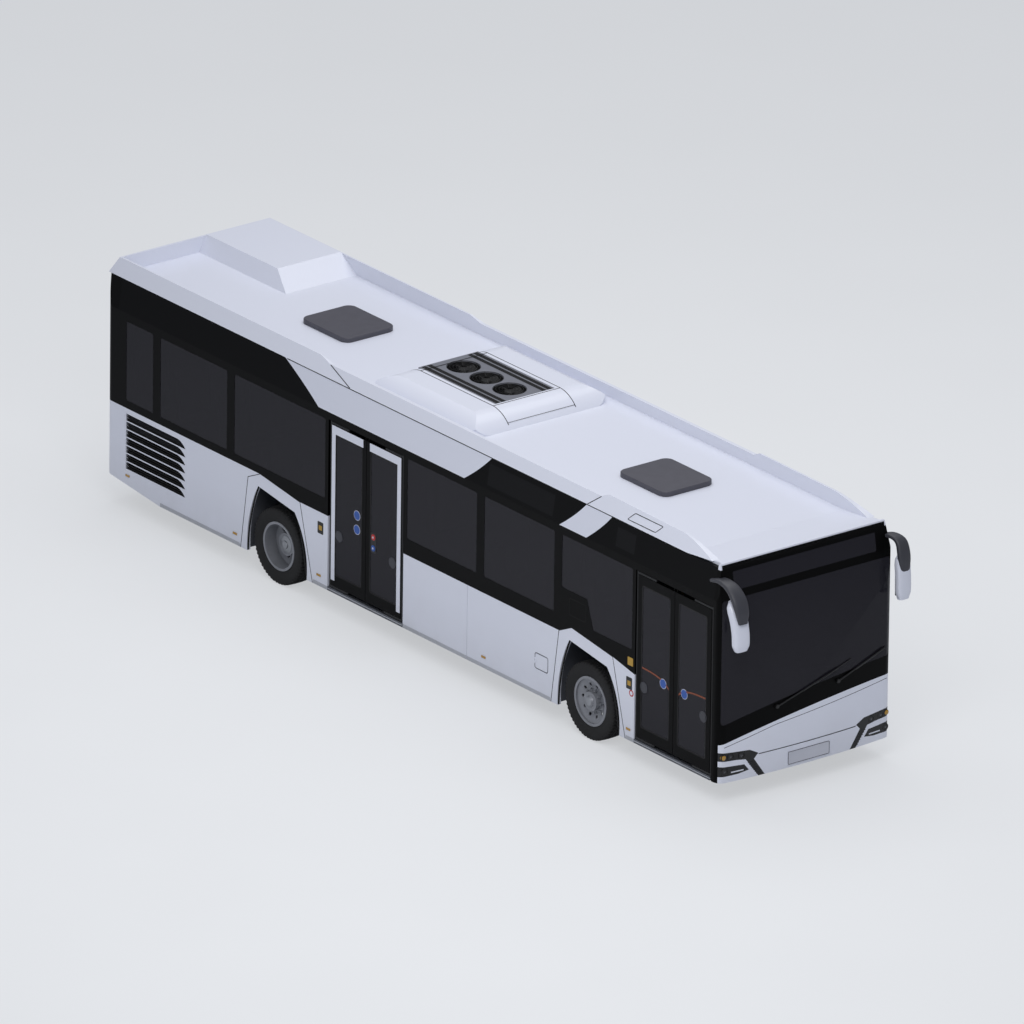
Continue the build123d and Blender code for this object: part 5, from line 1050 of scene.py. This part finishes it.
@dataclass
class FrontTrim:
    """Number plate, lamp rings, bumper details, wiper blades and display."""

    indicator: tuple[float, float, float] = (1.205, 0.588, 0.034)  # X, height, radius
    headlamps: tuple[tuple[float, float, float], ...] = (
        (1.110, 0.580, 0.045), (0.960, 0.568, 0.045), (1.190, 0.408, 0.046))
    leg_ribs: int = 7
    slat_z: float = 0.388
    bumper_z: float = 0.540
    band_z: tuple[float, ...] = (2.903, 2.921, 2.939)
    wipers: tuple[tuple[float, ...], ...] = ((-0.30, 1.135, 0.62, 1.415), (0.56, 1.225, 1.16, 1.425))

    def surface(self, x: Any, z: Any, proud: float) -> np.ndarray:
        """Points on the front surface, moved out by a height."""
        x, z = np.broadcast_arrays(np.asarray(x, float), np.asarray(z, float))
        return np.stack([x, FRONT_Y + front_station(x, z) - proud, z], axis=-1)

    def plate(self) -> None:
        """Blank plate on its pad, with a raised rim."""
        shape = Shape()
        y = FRONT_Y - 0.006
        outline = loop([(-0.300, 0.318), (0.300, 0.318), (0.300, 0.466), (-0.300, 0.466)], 0.014)
        levels = ((0.0, 0.0), (0.0030, 0.0), (0.0036, -0.003), (0.0026, -0.006))
        middle = np.array([0.0, 0.392])
        net = []
        for proud, grow in levels:
            scale = 1 + grow / np.array([0.300, 0.074])
            flat = middle + (outline - middle) * scale
            net.append(np.column_stack([flat[:, 0], np.full(len(flat), y - proud), flat[:, 1]]))
        shape.grid(np.stack(net), close_v=True, caps=True)
        shape.piece("blank_number_plate", Finish.PLATE, "grille_plate")
        rim = Shape()
        edge = [(x, y - 0.0032, z) for x, z in
                ((-0.303, 0.315), (0.303, 0.315), (0.303, 0.469), (-0.303, 0.469))]
        rim.sweep(rounded(0.006, 0.003, 0.001), loop(edge, 0.014), (0, -1, 0), close=True)
        rim.piece("number_plate_rim", Finish.MIRROR_BLACK, "trim_plastic")

    def lamps(self) -> None:
        """Bezels and inner optics of the lamps on both sides."""
        bezels, optics, amber = Shape(), Shape(), Shape()
        for lamp in (self.indicator, *self.headlamps):
            x, z, radius = lamp
            y = float(FRONT_Y + front_station(x, z))
            for side in (-x, x):
                bezels.disc((side, y + 0.012, z), (0, -1, 0),
                            [(0, radius - 0.001), (0.014, radius - 0.001), (0.017, radius - 0.004),
                             (0.013, radius - 0.006)])
                if lamp == self.indicator:
                    amber.disc((side, y + 0.010, z), (0, -1, 0),
                               [(0, 0.029), (0.018, 0.029), (0.023, 0.020), (0.025, 0.007)], 32)
                else:
                    optics.disc((side, y + 0.008, z), (0, -1, 0),
                                [(0, 0.60 * radius), (0.005, 0.52 * radius), (0.009, 0.34 * radius),
                                 (0.011, 0.10 * radius)], 32)
        bezels.piece("lamp_bezels", Finish.TRIM, "trim_plastic")
        optics.piece("lamp_optics", Finish.LAMP_CLEAR, "lamp_glass")
        amber.piece("front_indicator_lenses", Finish.LAMP_AMBER, "amber_lens")

    def bumper(self) -> None:
        """Ribs of the black legs, white slats in the lower pockets and the fold lines."""
        ribs, slats, folds = Shape(), Shape(), Shape()
        for sign in (-1, 1):
            for t in np.linspace(0.10, 0.86, self.leg_ribs):
                x0, x1, z = 0.715 + 0.155 * t, 0.605 + 0.165 * t, 0.285 + 0.205 * t
                path = self.surface([sign * (x0 + 0.02), sign * (x1 + 0.035)], [z, z], 0.002)
                ribs.sweep(rounded(0.010, 0.004, 0.001), path, (0, -1, 0))
            x = np.linspace(0.93, 1.10, 6)
            path = self.surface(sign * x, self.slat_z, 0.002)
            slats.sweep(rounded(0.014, 0.006, 0.002), path, (0, -1, 0))
        x = np.linspace(-1.20, 1.20, 40)
        low = np.interp(x, (-1.262, -0.49, 1.262), (0.743, 0.900, 1.070))
        folds.sweep(rounded(0.006, 0.0012), self.surface(x, low - 0.045, 0.0003), (0, -1, 0))
        seam = self.surface(np.linspace(-0.715, 0.715, 24), self.bumper_z, 0.0004)
        folds.sweep(rounded(0.008, 0.0012), seam, (0, -1, 0))
        ribs.piece("bumper_leg_ribs", Finish.TRIM, "trim_plastic")
        slats.piece("bumper_slats", Finish.WHITE, "white_paint")
        folds.piece("mask_fold_line", Finish.SEAM, "white_paint")

    def cap_band(self) -> None:
        """Black band over the upright front face of the roof cap."""
        shape = Shape()
        x = np.linspace(-1.195, 1.195, 24)
        for z in self.band_z:
            shape.sweep(rounded(0.0185, 0.002), self.surface(x, z, 0.0015), (0, -1, 0))
        shape.piece("cap_front_band", Finish.BLACK, "black_paint")

    def blades(self) -> None:
        """Wiper blades lying on the glass, with their linkage arms."""
        shape = Shape()
        for x0, z0, x1, z1 in self.wipers:
            t = np.linspace(0, 1, 10)
            x, z = x0 + (x1 - x0) * t, z0 + (z1 - z0) * t
            shape.sweep(rounded(0.010, 0.012, 0.003), self.surface(x, z, 0.006), (0, -1, 0))
            shape.sweep(rounded(0.018, 0.008, 0.003), self.surface(x[2:-2], z[2:-2], 0.016), (0, -1, 0))
        shape.piece("wiper_blades", Finish.TRIM, "trim_plastic")

    def display(self) -> None:
        """Unlit destination box behind the upper pane."""
        shape = Shape()
        shape.slab((-1.02, FRONT_Y + 0.230, 2.630), (1.02, FRONT_Y + 0.330, 2.845), 0.01)
        shape.piece("destination_box", Finish.CAB, "cab_plastic")

    def build(self) -> None:
        """All pieces of the front."""
        self.plate()
        self.lamps()
        self.bumper()
        self.cap_band()
        self.blades()
        self.display()


@dataclass
class Mirrors:
    """Outside mirrors: a broad dark arm, a white bent head and silvered glasses.

    Heads and arms are ovals carried along smooth paths of X, station and height.
    """

    door_arm: tuple[tuple[float, float, float], ...] = (
        (-1.215, 0.290, 2.745), (-1.222, 0.120, 2.785), (-1.228, -0.060, 2.762),
        (-1.230, -0.190, 2.665), (-1.230, -0.262, 2.530), (-1.230, -0.288, 2.380))
    door_head: tuple[tuple[float, float, float], ...] = (
        (-1.230, -0.060, 2.600), (-1.230, -0.130, 2.540), (-1.230, -0.195, 2.430),
        (-1.230, -0.240, 2.270), (-1.230, -0.252, 2.130), (-1.230, -0.252, 2.036))
    driver_arm: tuple[tuple[float, float, float], ...] = (
        (1.200, 0.270, 2.735), (1.262, 0.110, 2.780), (1.300, -0.020, 2.735),
        (1.300, -0.082, 2.600), (1.300, -0.094, 2.450), (1.300, -0.100, 2.330))
    driver_head: tuple[tuple[float, float, float], ...] = (
        (1.298, -0.045, 2.600), (1.298, -0.062, 2.480), (1.298, -0.078, 2.340),
        (1.298, -0.086, 2.180), (1.298, -0.086, 2.040))

    def tube(self, shape: Shape, points: Sequence[Sequence[float]], width: float, depth: float,
             taper: Sequence[float]) -> None:
        """Rounded oval along a path, its size taken from a taper along the way."""
        path = spline([(x, at(s), z) for x, s, z in points])
        turn = np.linspace(0, math.tau, 28, endpoint=False)
        oval = np.column_stack([signed_power(np.cos(turn), 0.6) * depth / 2,
                                signed_power(np.sin(turn), 0.6) * width / 2])
        size = np.interp(np.linspace(0, 1, len(path)), np.linspace(0, 1, len(taper)), taper)
        shape.sweep(oval, path, (1, 0, 0), sizes=np.column_stack([size, size]))

    def build(self) -> None:
        """Both mirrors in place of the plain CAD ones."""
        heads, arms = Shape(), Shape()
        self.tube(heads, self.door_head, 0.222, 0.120, (0.35, 0.85, 1, 1, 1, 1, 0.98, 0.72))
        self.tube(heads, self.driver_head, 0.196, 0.112, (0.45, 0.9, 1, 1, 1, 1, 0.98, 0.72))
        self.tube(arms, self.door_arm, 0.150, 0.062, (0.75, 0.9, 1.05, 1.2, 1.3, 1.3, 1.15, 0.8))
        self.tube(arms, self.driver_arm, 0.130, 0.060, (0.75, 0.9, 1.0, 1.2, 1.3, 1.3, 1.15, 0.8))
        item = heads.piece("mirror_heads", Finish.MIRROR, "mirror_plastic", smooth_deg=50.0)
        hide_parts("mirrors")
        arms.piece("mirror_arms", Finish.MIRROR_BLACK, "trim_plastic", smooth_deg=50.0)
        self.glasses()

    def glasses(self) -> None:
        """Silvered glasses on dark seats in the rear face of each head."""
        glass, seat = Shape(), Shape()
        for x, y0, y1, z0, z1, width in ((-1.230, -0.196, -0.178, 2.090, 2.360, 0.160),
                                         (1.298, -0.034, -0.024, 2.090, 2.390, 0.140)):
            way = [(x, at(y0), z0), (x, at(y1), z1)]
            glass.sweep(rounded(width, 0.006, 0.002), way, (0, 1, 0))
            grown = [(x, at(y0) - 0.003, z0 - 0.010), (x, at(y1) - 0.003, z1 + 0.010)]
            seat.sweep(rounded(width + 0.018, 0.008, 0.003), grown, (0, 1, 0))
        glass.piece("mirror_glasses", Finish.SILVER, "mirror_plastic")
        seat.piece("mirror_glass_seats", Finish.TRIM, "trim_plastic")


@dataclass
class RoofTrim:
    """Joint lines of the roof, the air conditioner's strips and fan guards."""

    lid_half: float = 0.498
    bars: int = 50
    bar_pitch: float = 0.029
    bar_rows: tuple[float, float] = (0.300, 0.384)
    guard_rings: tuple[float, ...] = (0.050, 0.088, 0.126, 0.164, 0.203)
    spokes: int = 6

    def on_fairing(self, sign: int, station: float, rise: float) -> tuple[float, float, float]:
        """Point on a fairing's leaning outer face."""
        x = HALF - LEAN - 0.094 * rise / 0.193 + 0.0008
        return (sign * x, at(station), DECK_Z + rise)

    def joints(self) -> None:
        """Joint lines of the fairings on their leaning outer faces, and along their foot."""
        shape = Shape()
        thin = rounded(*LINE)
        for sign in (-1, 1):
            for (s0, z0), (s1, z1) in (((7.222, 0.0), (7.706, 0.143)), ((2.674, 0.0), (2.486, 0.143))):
                t = np.linspace(0.02, 0.97, 5)
                path = [self.on_fairing(sign, s0 + (s1 - s0) * k, z0 + (z1 - z0) * k) for k in t]
                shape.sweep(thin, path, (sign, 0, 0.45))
            foot = [(sign * (HALF - LEAN + 0.0012), at(s), DECK_Z - 0.004)
                    for s in np.linspace(1.30, 8.45, 12)]
            shape.sweep(thin, foot, (sign, 0, 0.3))
        corners = [self.on_fairing(-1, s, rise) for s, rise in
                   ((1.940, 0.044), (1.416, 0.044), (1.322, 0.135), (1.845, 0.135))]
        shape.sweep(rounded(0.009, 0.0016), loop(corners, 0.02), (-1, 0, 0.45), close=True)
        shape.piece("fairing_joints", Finish.SEAM, "roof_paint")

    def air_conditioner(self) -> None:
        """Black mesh strips beside the fans, rims of the fan wells and joints of the lid."""
        mesh, lines = Shape(), Shape()
        for sign in (-1, 1):
            for x in self.bar_rows:
                for k in range(self.bars):
                    y = at(AC_CENTRE - 0.722 + k * self.bar_pitch)
                    mesh.slab((sign * (x - 0.029), y, AC_TOP - 0.0038),
                              (sign * (x + 0.029), y + 0.022, AC_TOP - 0.0014))
        for k in (-1, 0, 1):
            mesh.disc((0.0, at(AC_CENTRE + FAN_PITCH * k), AC_TOP - 0.092), (0, 0, 1),
                      [(0.0, 0.2005), (0.0735, 0.2005), (0.0735, 0.1990), (0.002, 0.1990)], 48)
        self.lid_joints(lines)
        mesh.piece("ac_mesh_strips", Finish.MESH, "fan_plastic")
        lines.piece("ac_lid_joints", Finish.SEAM, "roof_paint")

    def lid_joints(self, lines: Shape) -> None:
        """Joint lines along the lid's edges, over both end slopes and across them."""
        s0, s1 = AC_S
        slope = arc(*((s0 + s, DECK_Z + z) for s, z in AC_SLOPE))
        back = slope[::-1] * (-1, 1) + (s0 + s1, 0)
        side = np.concatenate([slope[2:], back[:-2]])
        thin = rounded(*LINE)
        for sign in (-1, 1):
            path = [(sign * self.lid_half, at(s), z + 0.0008) for s, z in side]
            lines.sweep(thin, path, (0, 0, 1))
        for s, z in (slope[3], slope[-1], back[0]):
            path = [(x, at(s), z + 0.0010) for x in (-self.lid_half, self.lid_half)]
            lines.sweep(thin, path, (0, 0, 1))

    def guards(self) -> None:
        """Wire guards over the fans: rings on six spokes."""
        shape = Shape()
        z = AC_TOP - 0.0035
        for k in (-1, 0, 1):
            y = at(AC_CENTRE + FAN_PITCH * k)
            for radius in self.guard_rings:
                turn = np.linspace(0, math.tau, 40, endpoint=False)
                path = np.column_stack([radius * np.cos(turn), y + radius * np.sin(turn), np.full(40, z)])
                shape.sweep(ring(0.0022, 6), path, (0, 0, 1), close=True)
            for i in range(self.spokes):
                a = math.tau * i / self.spokes
                path = [(r * math.cos(a), y + r * math.sin(a), z - 0.003) for r in (0.048, 0.206)]
                shape.sweep(ring(0.0026, 6), path)
        shape.piece("fan_guards", Finish.TRIM, "fan_plastic")

    def build(self) -> None:
        """All pieces of the roof."""
        self.joints()
        self.air_conditioner()
        self.guards()


@dataclass
class SaloonSeats:
    """Moulded double seats with fabric pads, in place of the CAD shells."""

    low_rows: tuple[float, ...] = (3.620, 4.420, 5.220)
    podium_rows: tuple[float, ...] = (9.720, 10.525, 11.330)
    side: tuple[tuple[float, float], ...] = (
        (0.0, 0.430), (-0.430, 0.450), (-0.440, 0.400), (-0.060, 0.370), (0.050, 0.380),
        (0.170, 1.010), (0.110, 1.030), (0.020, 0.480),
    )

    def places(self) -> list[tuple[int, float, float]]:
        """Side, station and floor height of each seat pair."""
        low = [(1, s, FLOOR_Z) for s in self.low_rows] + [(-1, s, FLOOR_Z) for s in self.low_rows[1:]]
        high = [(sign, s, PODIUM_Z) for s in self.podium_rows for sign in (-1, 1)]
        return low + high

    def build(self) -> None:
        """Shells, legs and pads of all seats."""
        shells, pads, rails = Shape(), Shape(), Shape()
        wall = HALF - 0.0505
        for sign, s, z in self.places():
            for offset in (0.215, 0.660):
                centre = sign * (wall - offset)
                outline = np.array([(at(s) + a, z + b) for a, b in self.side])
                ends = [np.column_stack([np.full(len(outline), centre + h), outline])
                        for h in (-0.205, 0.205)]
                shells.grid(np.stack(ends), close_v=True, caps=True)
                pads.pillow((centre, at(s) - 0.215, z + 0.462), (0.380, 0.400, 0.060), 0.45, -2.6)
                pads.pillow((centre, at(s) + 0.052, z + 0.755), (0.370, 0.050, 0.500), 0.45, -9.3)
                grip = [(centre + x, at(s) + 0.150, z + h) for x, h in
                        ((-0.12, 1.020), (-0.11, 1.060), (0.11, 1.060), (0.12, 1.020))]
                rails.sweep(ring(0.010, 10), loop(grip, 0.03, 4, closed=False))
            shells.slab((sign * (wall - 0.560), at(s - 0.240), z),
                        (sign * (wall - 0.500), at(s - 0.160), z + 0.400), 0.01)
        item = shells.piece("saloon_seat_shells", Finish.SEAT, "cab_plastic")
        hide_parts("passenger_seats")
        soft = pads.piece("saloon_seat_pads", Finish.MOQUETTE, "seat_fabric", smooth_deg=60.0)
        rails.piece("saloon_seat_grips", Finish.POLE, "rail_steel")


@dataclass
class DriverSeat:
    """Sprung driver's seat: bellows, cushion, bolsters, back and head rest."""

    x: float = 0.680
    station: float = 1.560

    def build(self) -> None:
        """Pedestal with its rubber bellows, and the pads."""
        y = at(self.station)
        base = Shape()
        levels = np.linspace(0, 1, 25)
        size = 1.0 - 0.06 * (np.cos(levels * math.tau * 6) + 1) / 2
        outline = rounded(0.340, 0.360, 0.05)
        net = [
            np.column_stack([self.x + outline[:, 0] * k, y - 0.22 + outline[:, 1] * k,
                             np.full(len(outline), FLOOR_Z + 0.540 * t)])
            for k, t in zip(size, levels)
        ]
        base.grid(np.stack(net), close_v=True, caps=True)
        item = base.piece("driver_seat_bellows", Finish.RUBBER, "cab_plastic", smooth_deg=60.0)
        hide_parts("driver_seat")
        pads = Shape()
        pads.pillow((self.x, y - 0.240, FLOOR_Z + 0.600), (0.490, 0.490, 0.120), 0.4)
        pads.pillow((self.x, y + 0.050, FLOOR_Z + 0.930), (0.460, 0.110, 0.600), 0.4, -10.0)
        pads.pillow((self.x, y + 0.135, FLOOR_Z + 1.270), (0.280, 0.090, 0.170), 0.5, -10.0)
        for sign in (-1, 1):
            pads.pillow((self.x + sign * 0.200, y - 0.250, FLOOR_Z + 0.640), (0.090, 0.440, 0.080), 0.5)
        soft = pads.piece("driver_seat_pads", Finish.MOQUETTE, "seat_fabric", smooth_deg=60.0)


@dataclass
class RearTrim:
    """Lamp rings and domes, vents, blank plate and joints of the back."""

    lamp_x: float = 1.13
    lamp_z: tuple[float, ...] = (1.120, 0.980, 0.840)
    vents: int = 6
    vent_z: float = 0.600
    vent_pitch: float = 0.045
    plate_z: float = 1.050
    bumper_z: float = 0.640

    def build(self) -> None:
        """Pieces of the rear."""
        bezels, ribs, domes = Shape(), Shape(), Shape()
        y = at(BODY_LENGTH) - float(front_station(self.lamp_x, 0.0))
        for x in (-self.lamp_x, self.lamp_x):
            for z in self.lamp_z:
                bezels.disc((x, y - 0.012, z), (0, 1, 0),
                            [(0, 0.054), (0.014, 0.054), (0.017, 0.051), (0.015, 0.047)])
                domes.disc((x, y - 0.006, z), (0, 1, 0),
                           [(0, 0.046), (0.010, 0.046), (0.015, 0.036), (0.018, 0.020), (0.019, 0.006)])
        for i in range(self.vents):
            path = self.on_rear(-0.55, 0.55, self.vent_z + self.vent_pitch * i, 0.001)
            ribs.sweep(rounded(0.014, 0.004, 0.001), path, (0, 1, 0))
        bezels.piece("tail_lamp_bezels", Finish.TRIM, "trim_plastic")
        domes.piece("tail_lamp_domes", Finish.LAMP_RED, "red_lens")
        ribs.piece("engine_flap_vents", Finish.TRIM, "trim_plastic", "engine_flap")
        self.plate()

    def on_rear(self, x0: float, x1: float, z: float, proud: float) -> np.ndarray:
        """Path across the rear face at a height, an arc in plan."""
        x = np.linspace(x0, x1, 14)
        return np.column_stack([x, at(BODY_LENGTH) - front_station(x, 0.0) + proud, np.full(14, z)])

    def plate(self) -> None:
        """Blank plate on the engine flap, and the joint line above the bumper."""
        shape, seam = Shape(), Shape()
        shape.sweep(rounded(0.112, 0.004), self.on_rear(-0.26, 0.26, self.plate_z, 0.0035), (0, 1, 0))
        shape.piece("rear_blank_plate", Finish.PLATE, "grille_plate", "engine_flap")
        for sign in (-1, 1):
            path = self.on_rear(sign * 0.870, sign * 1.150, self.bumper_z, 0.0004)
            seam.sweep(rounded(0.007, 0.0012), path, (0, 1, 0))
        seam.piece("rear_bumper_joint", Finish.SEAM, "black_paint")


ASSEMBLIES: tuple[Any, ...] = (
    Tyres(), WheelFittings(), DoorTrim(), SideTrim(), FrontTrim(), Mirrors(), RoofTrim(),
    SaloonSeats(), DriverSeat(), RearTrim(),
)


@dataclass
class Studio:
    """Floor, light and the camera at the photograph's angle."""

    azimuth_deg: float = 37.94
    elevation_deg: float = 21.63
    roll_deg: float = 0.756
    width_m: float = 12.059
    target: tuple[float, float, float] = (0.0, -0.182, 1.577)
    distance_m: float = 260.0
    backdrop: str = "E9EBEE"
    sky: str = "E4E8F2"
    ambient: float = 0.45
    floor_half: float = 60.0
    floor_glow: float = 0.62
    lights: tuple[tuple[str, tuple[float, float, float], float, float], ...] = (
        ("key", (-9.0, -12.0, 14.0), 9.0, 1120.0),
        ("top", (2.0, 2.0, 16.0), 14.0, 1180.0),
        ("fill", (-16.0, 4.0, 6.0), 10.0, 110.0),
    )

    def camera(self) -> None:
        """Long-lens camera, far enough away that parallel edges stay parallel."""
        data = bpy.data.cameras.new("photo_camera")
        data.sensor_width = 36.0
        data.lens = data.sensor_width * self.distance_m / self.width_m
        data.clip_end = 4 * self.distance_m
        camera = bpy.data.objects.new("photo_camera", data)
        bpy.context.scene.collection.objects.link(camera)
        a, e = math.radians(self.azimuth_deg), math.radians(self.elevation_deg)
        away = Vector((-math.sin(a) * math.cos(e), -math.cos(a) * math.cos(e), math.sin(e)))
        camera.location = Vector(self.target) + away * self.distance_m
        roll = Quaternion((0.0, 0.0, 1.0), math.radians(self.roll_deg))
        camera.rotation_euler = ((-away).to_track_quat("-Z", "Y") @ roll).to_euler()
        bpy.context.scene.camera = camera

    def light(self, name: str, place: Sequence[float], size: float, power: float) -> None:
        """Square soft light that faces the bus.

        Args:
            name: the lamp's name.
            place: its centre in metres.
            size: edge length in metres.
            power: watts.
        """
        data = bpy.data.lights.new(name, "AREA")
        data.size = size
        data.energy = power
        lamp = bpy.data.objects.new(name, data)
        lamp.location = place
        aim = Vector((0.0, 0.0, 1.3)) - Vector(place)
        lamp.rotation_euler = aim.to_track_quat("-Z", "Y").to_euler()
        bpy.context.scene.collection.objects.link(lamp)

    def world(self) -> None:
        """Soft cool light, with a plain pale backdrop for the camera."""
        g = Graph("studio", world=True)
        bpy.context.scene.world = g.block
        seen = g.add("ShaderNodeBackground", {0: linear(self.backdrop)})
        lit = g.add("ShaderNodeBackground", {0: linear(self.sky), 1: self.ambient})
        direct = g.add("ShaderNodeLightPath").outputs["Is Camera Ray"]
        g.show(g.add("ShaderNodeMixShader", {0: direct, 1: lit.outputs[0], 2: seen.outputs[0]}))

    def floor(self) -> None:
        """Large pale floor under the tyres."""
        half = self.floor_half
        mesh = bpy.data.meshes.new("studio_floor")
        corners = [(-half, -half, 0), (half, -half, 0), (half, half, 0), (-half, half, 0)]
        mesh.from_pydata(corners, [], [(0, 1, 2, 3)])
        floor = bpy.data.objects.new("studio_floor", mesh)
        bpy.context.scene.collection.objects.link(floor)
        g = Graph("Matt_studio_floor")
        vector, _, _, _ = g.place()
        tone = g.noise(vector, 0.4, 2.0)
        shader = g.add("ShaderNodeBsdfPrincipled", {
            "Base Color": g.mix(tone, linear("E3E5E8"), linear("EBEDF0")),
            "Roughness": 0.9,
            "Specular IOR Level": 0.0,
        })
        plain = g.add("ShaderNodeEmission", {0: linear(self.backdrop), 1: 1.0})
        seen = g.math("MULTIPLY", g.add("ShaderNodeLightPath").outputs["Is Camera Ray"], self.floor_glow)
        g.show(g.add("ShaderNodeMixShader", {0: seen, 1: shader.outputs[0], 2: plain.outputs[0]}))
        mesh.materials.append(g.block)

    def build(self) -> None:
        """Makes the whole studio."""
        self.camera()
        self.world()
        self.floor()
        for light in self.lights:
            self.light(*light)


def main() -> None:
    """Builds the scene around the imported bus."""
    logging.basicConfig(level=logging.INFO, format="%(message)s")
    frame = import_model()
    scene = bpy.context.scene
    scene.view_settings.view_transform = "Standard"
    Studio().build()
    dress(frame["nodes"])
    for assembly in ASSEMBLIES:
        assembly.build()
        LOG.info("built %s", type(assembly).__name__)


if __name__ == "__main__":
    main()
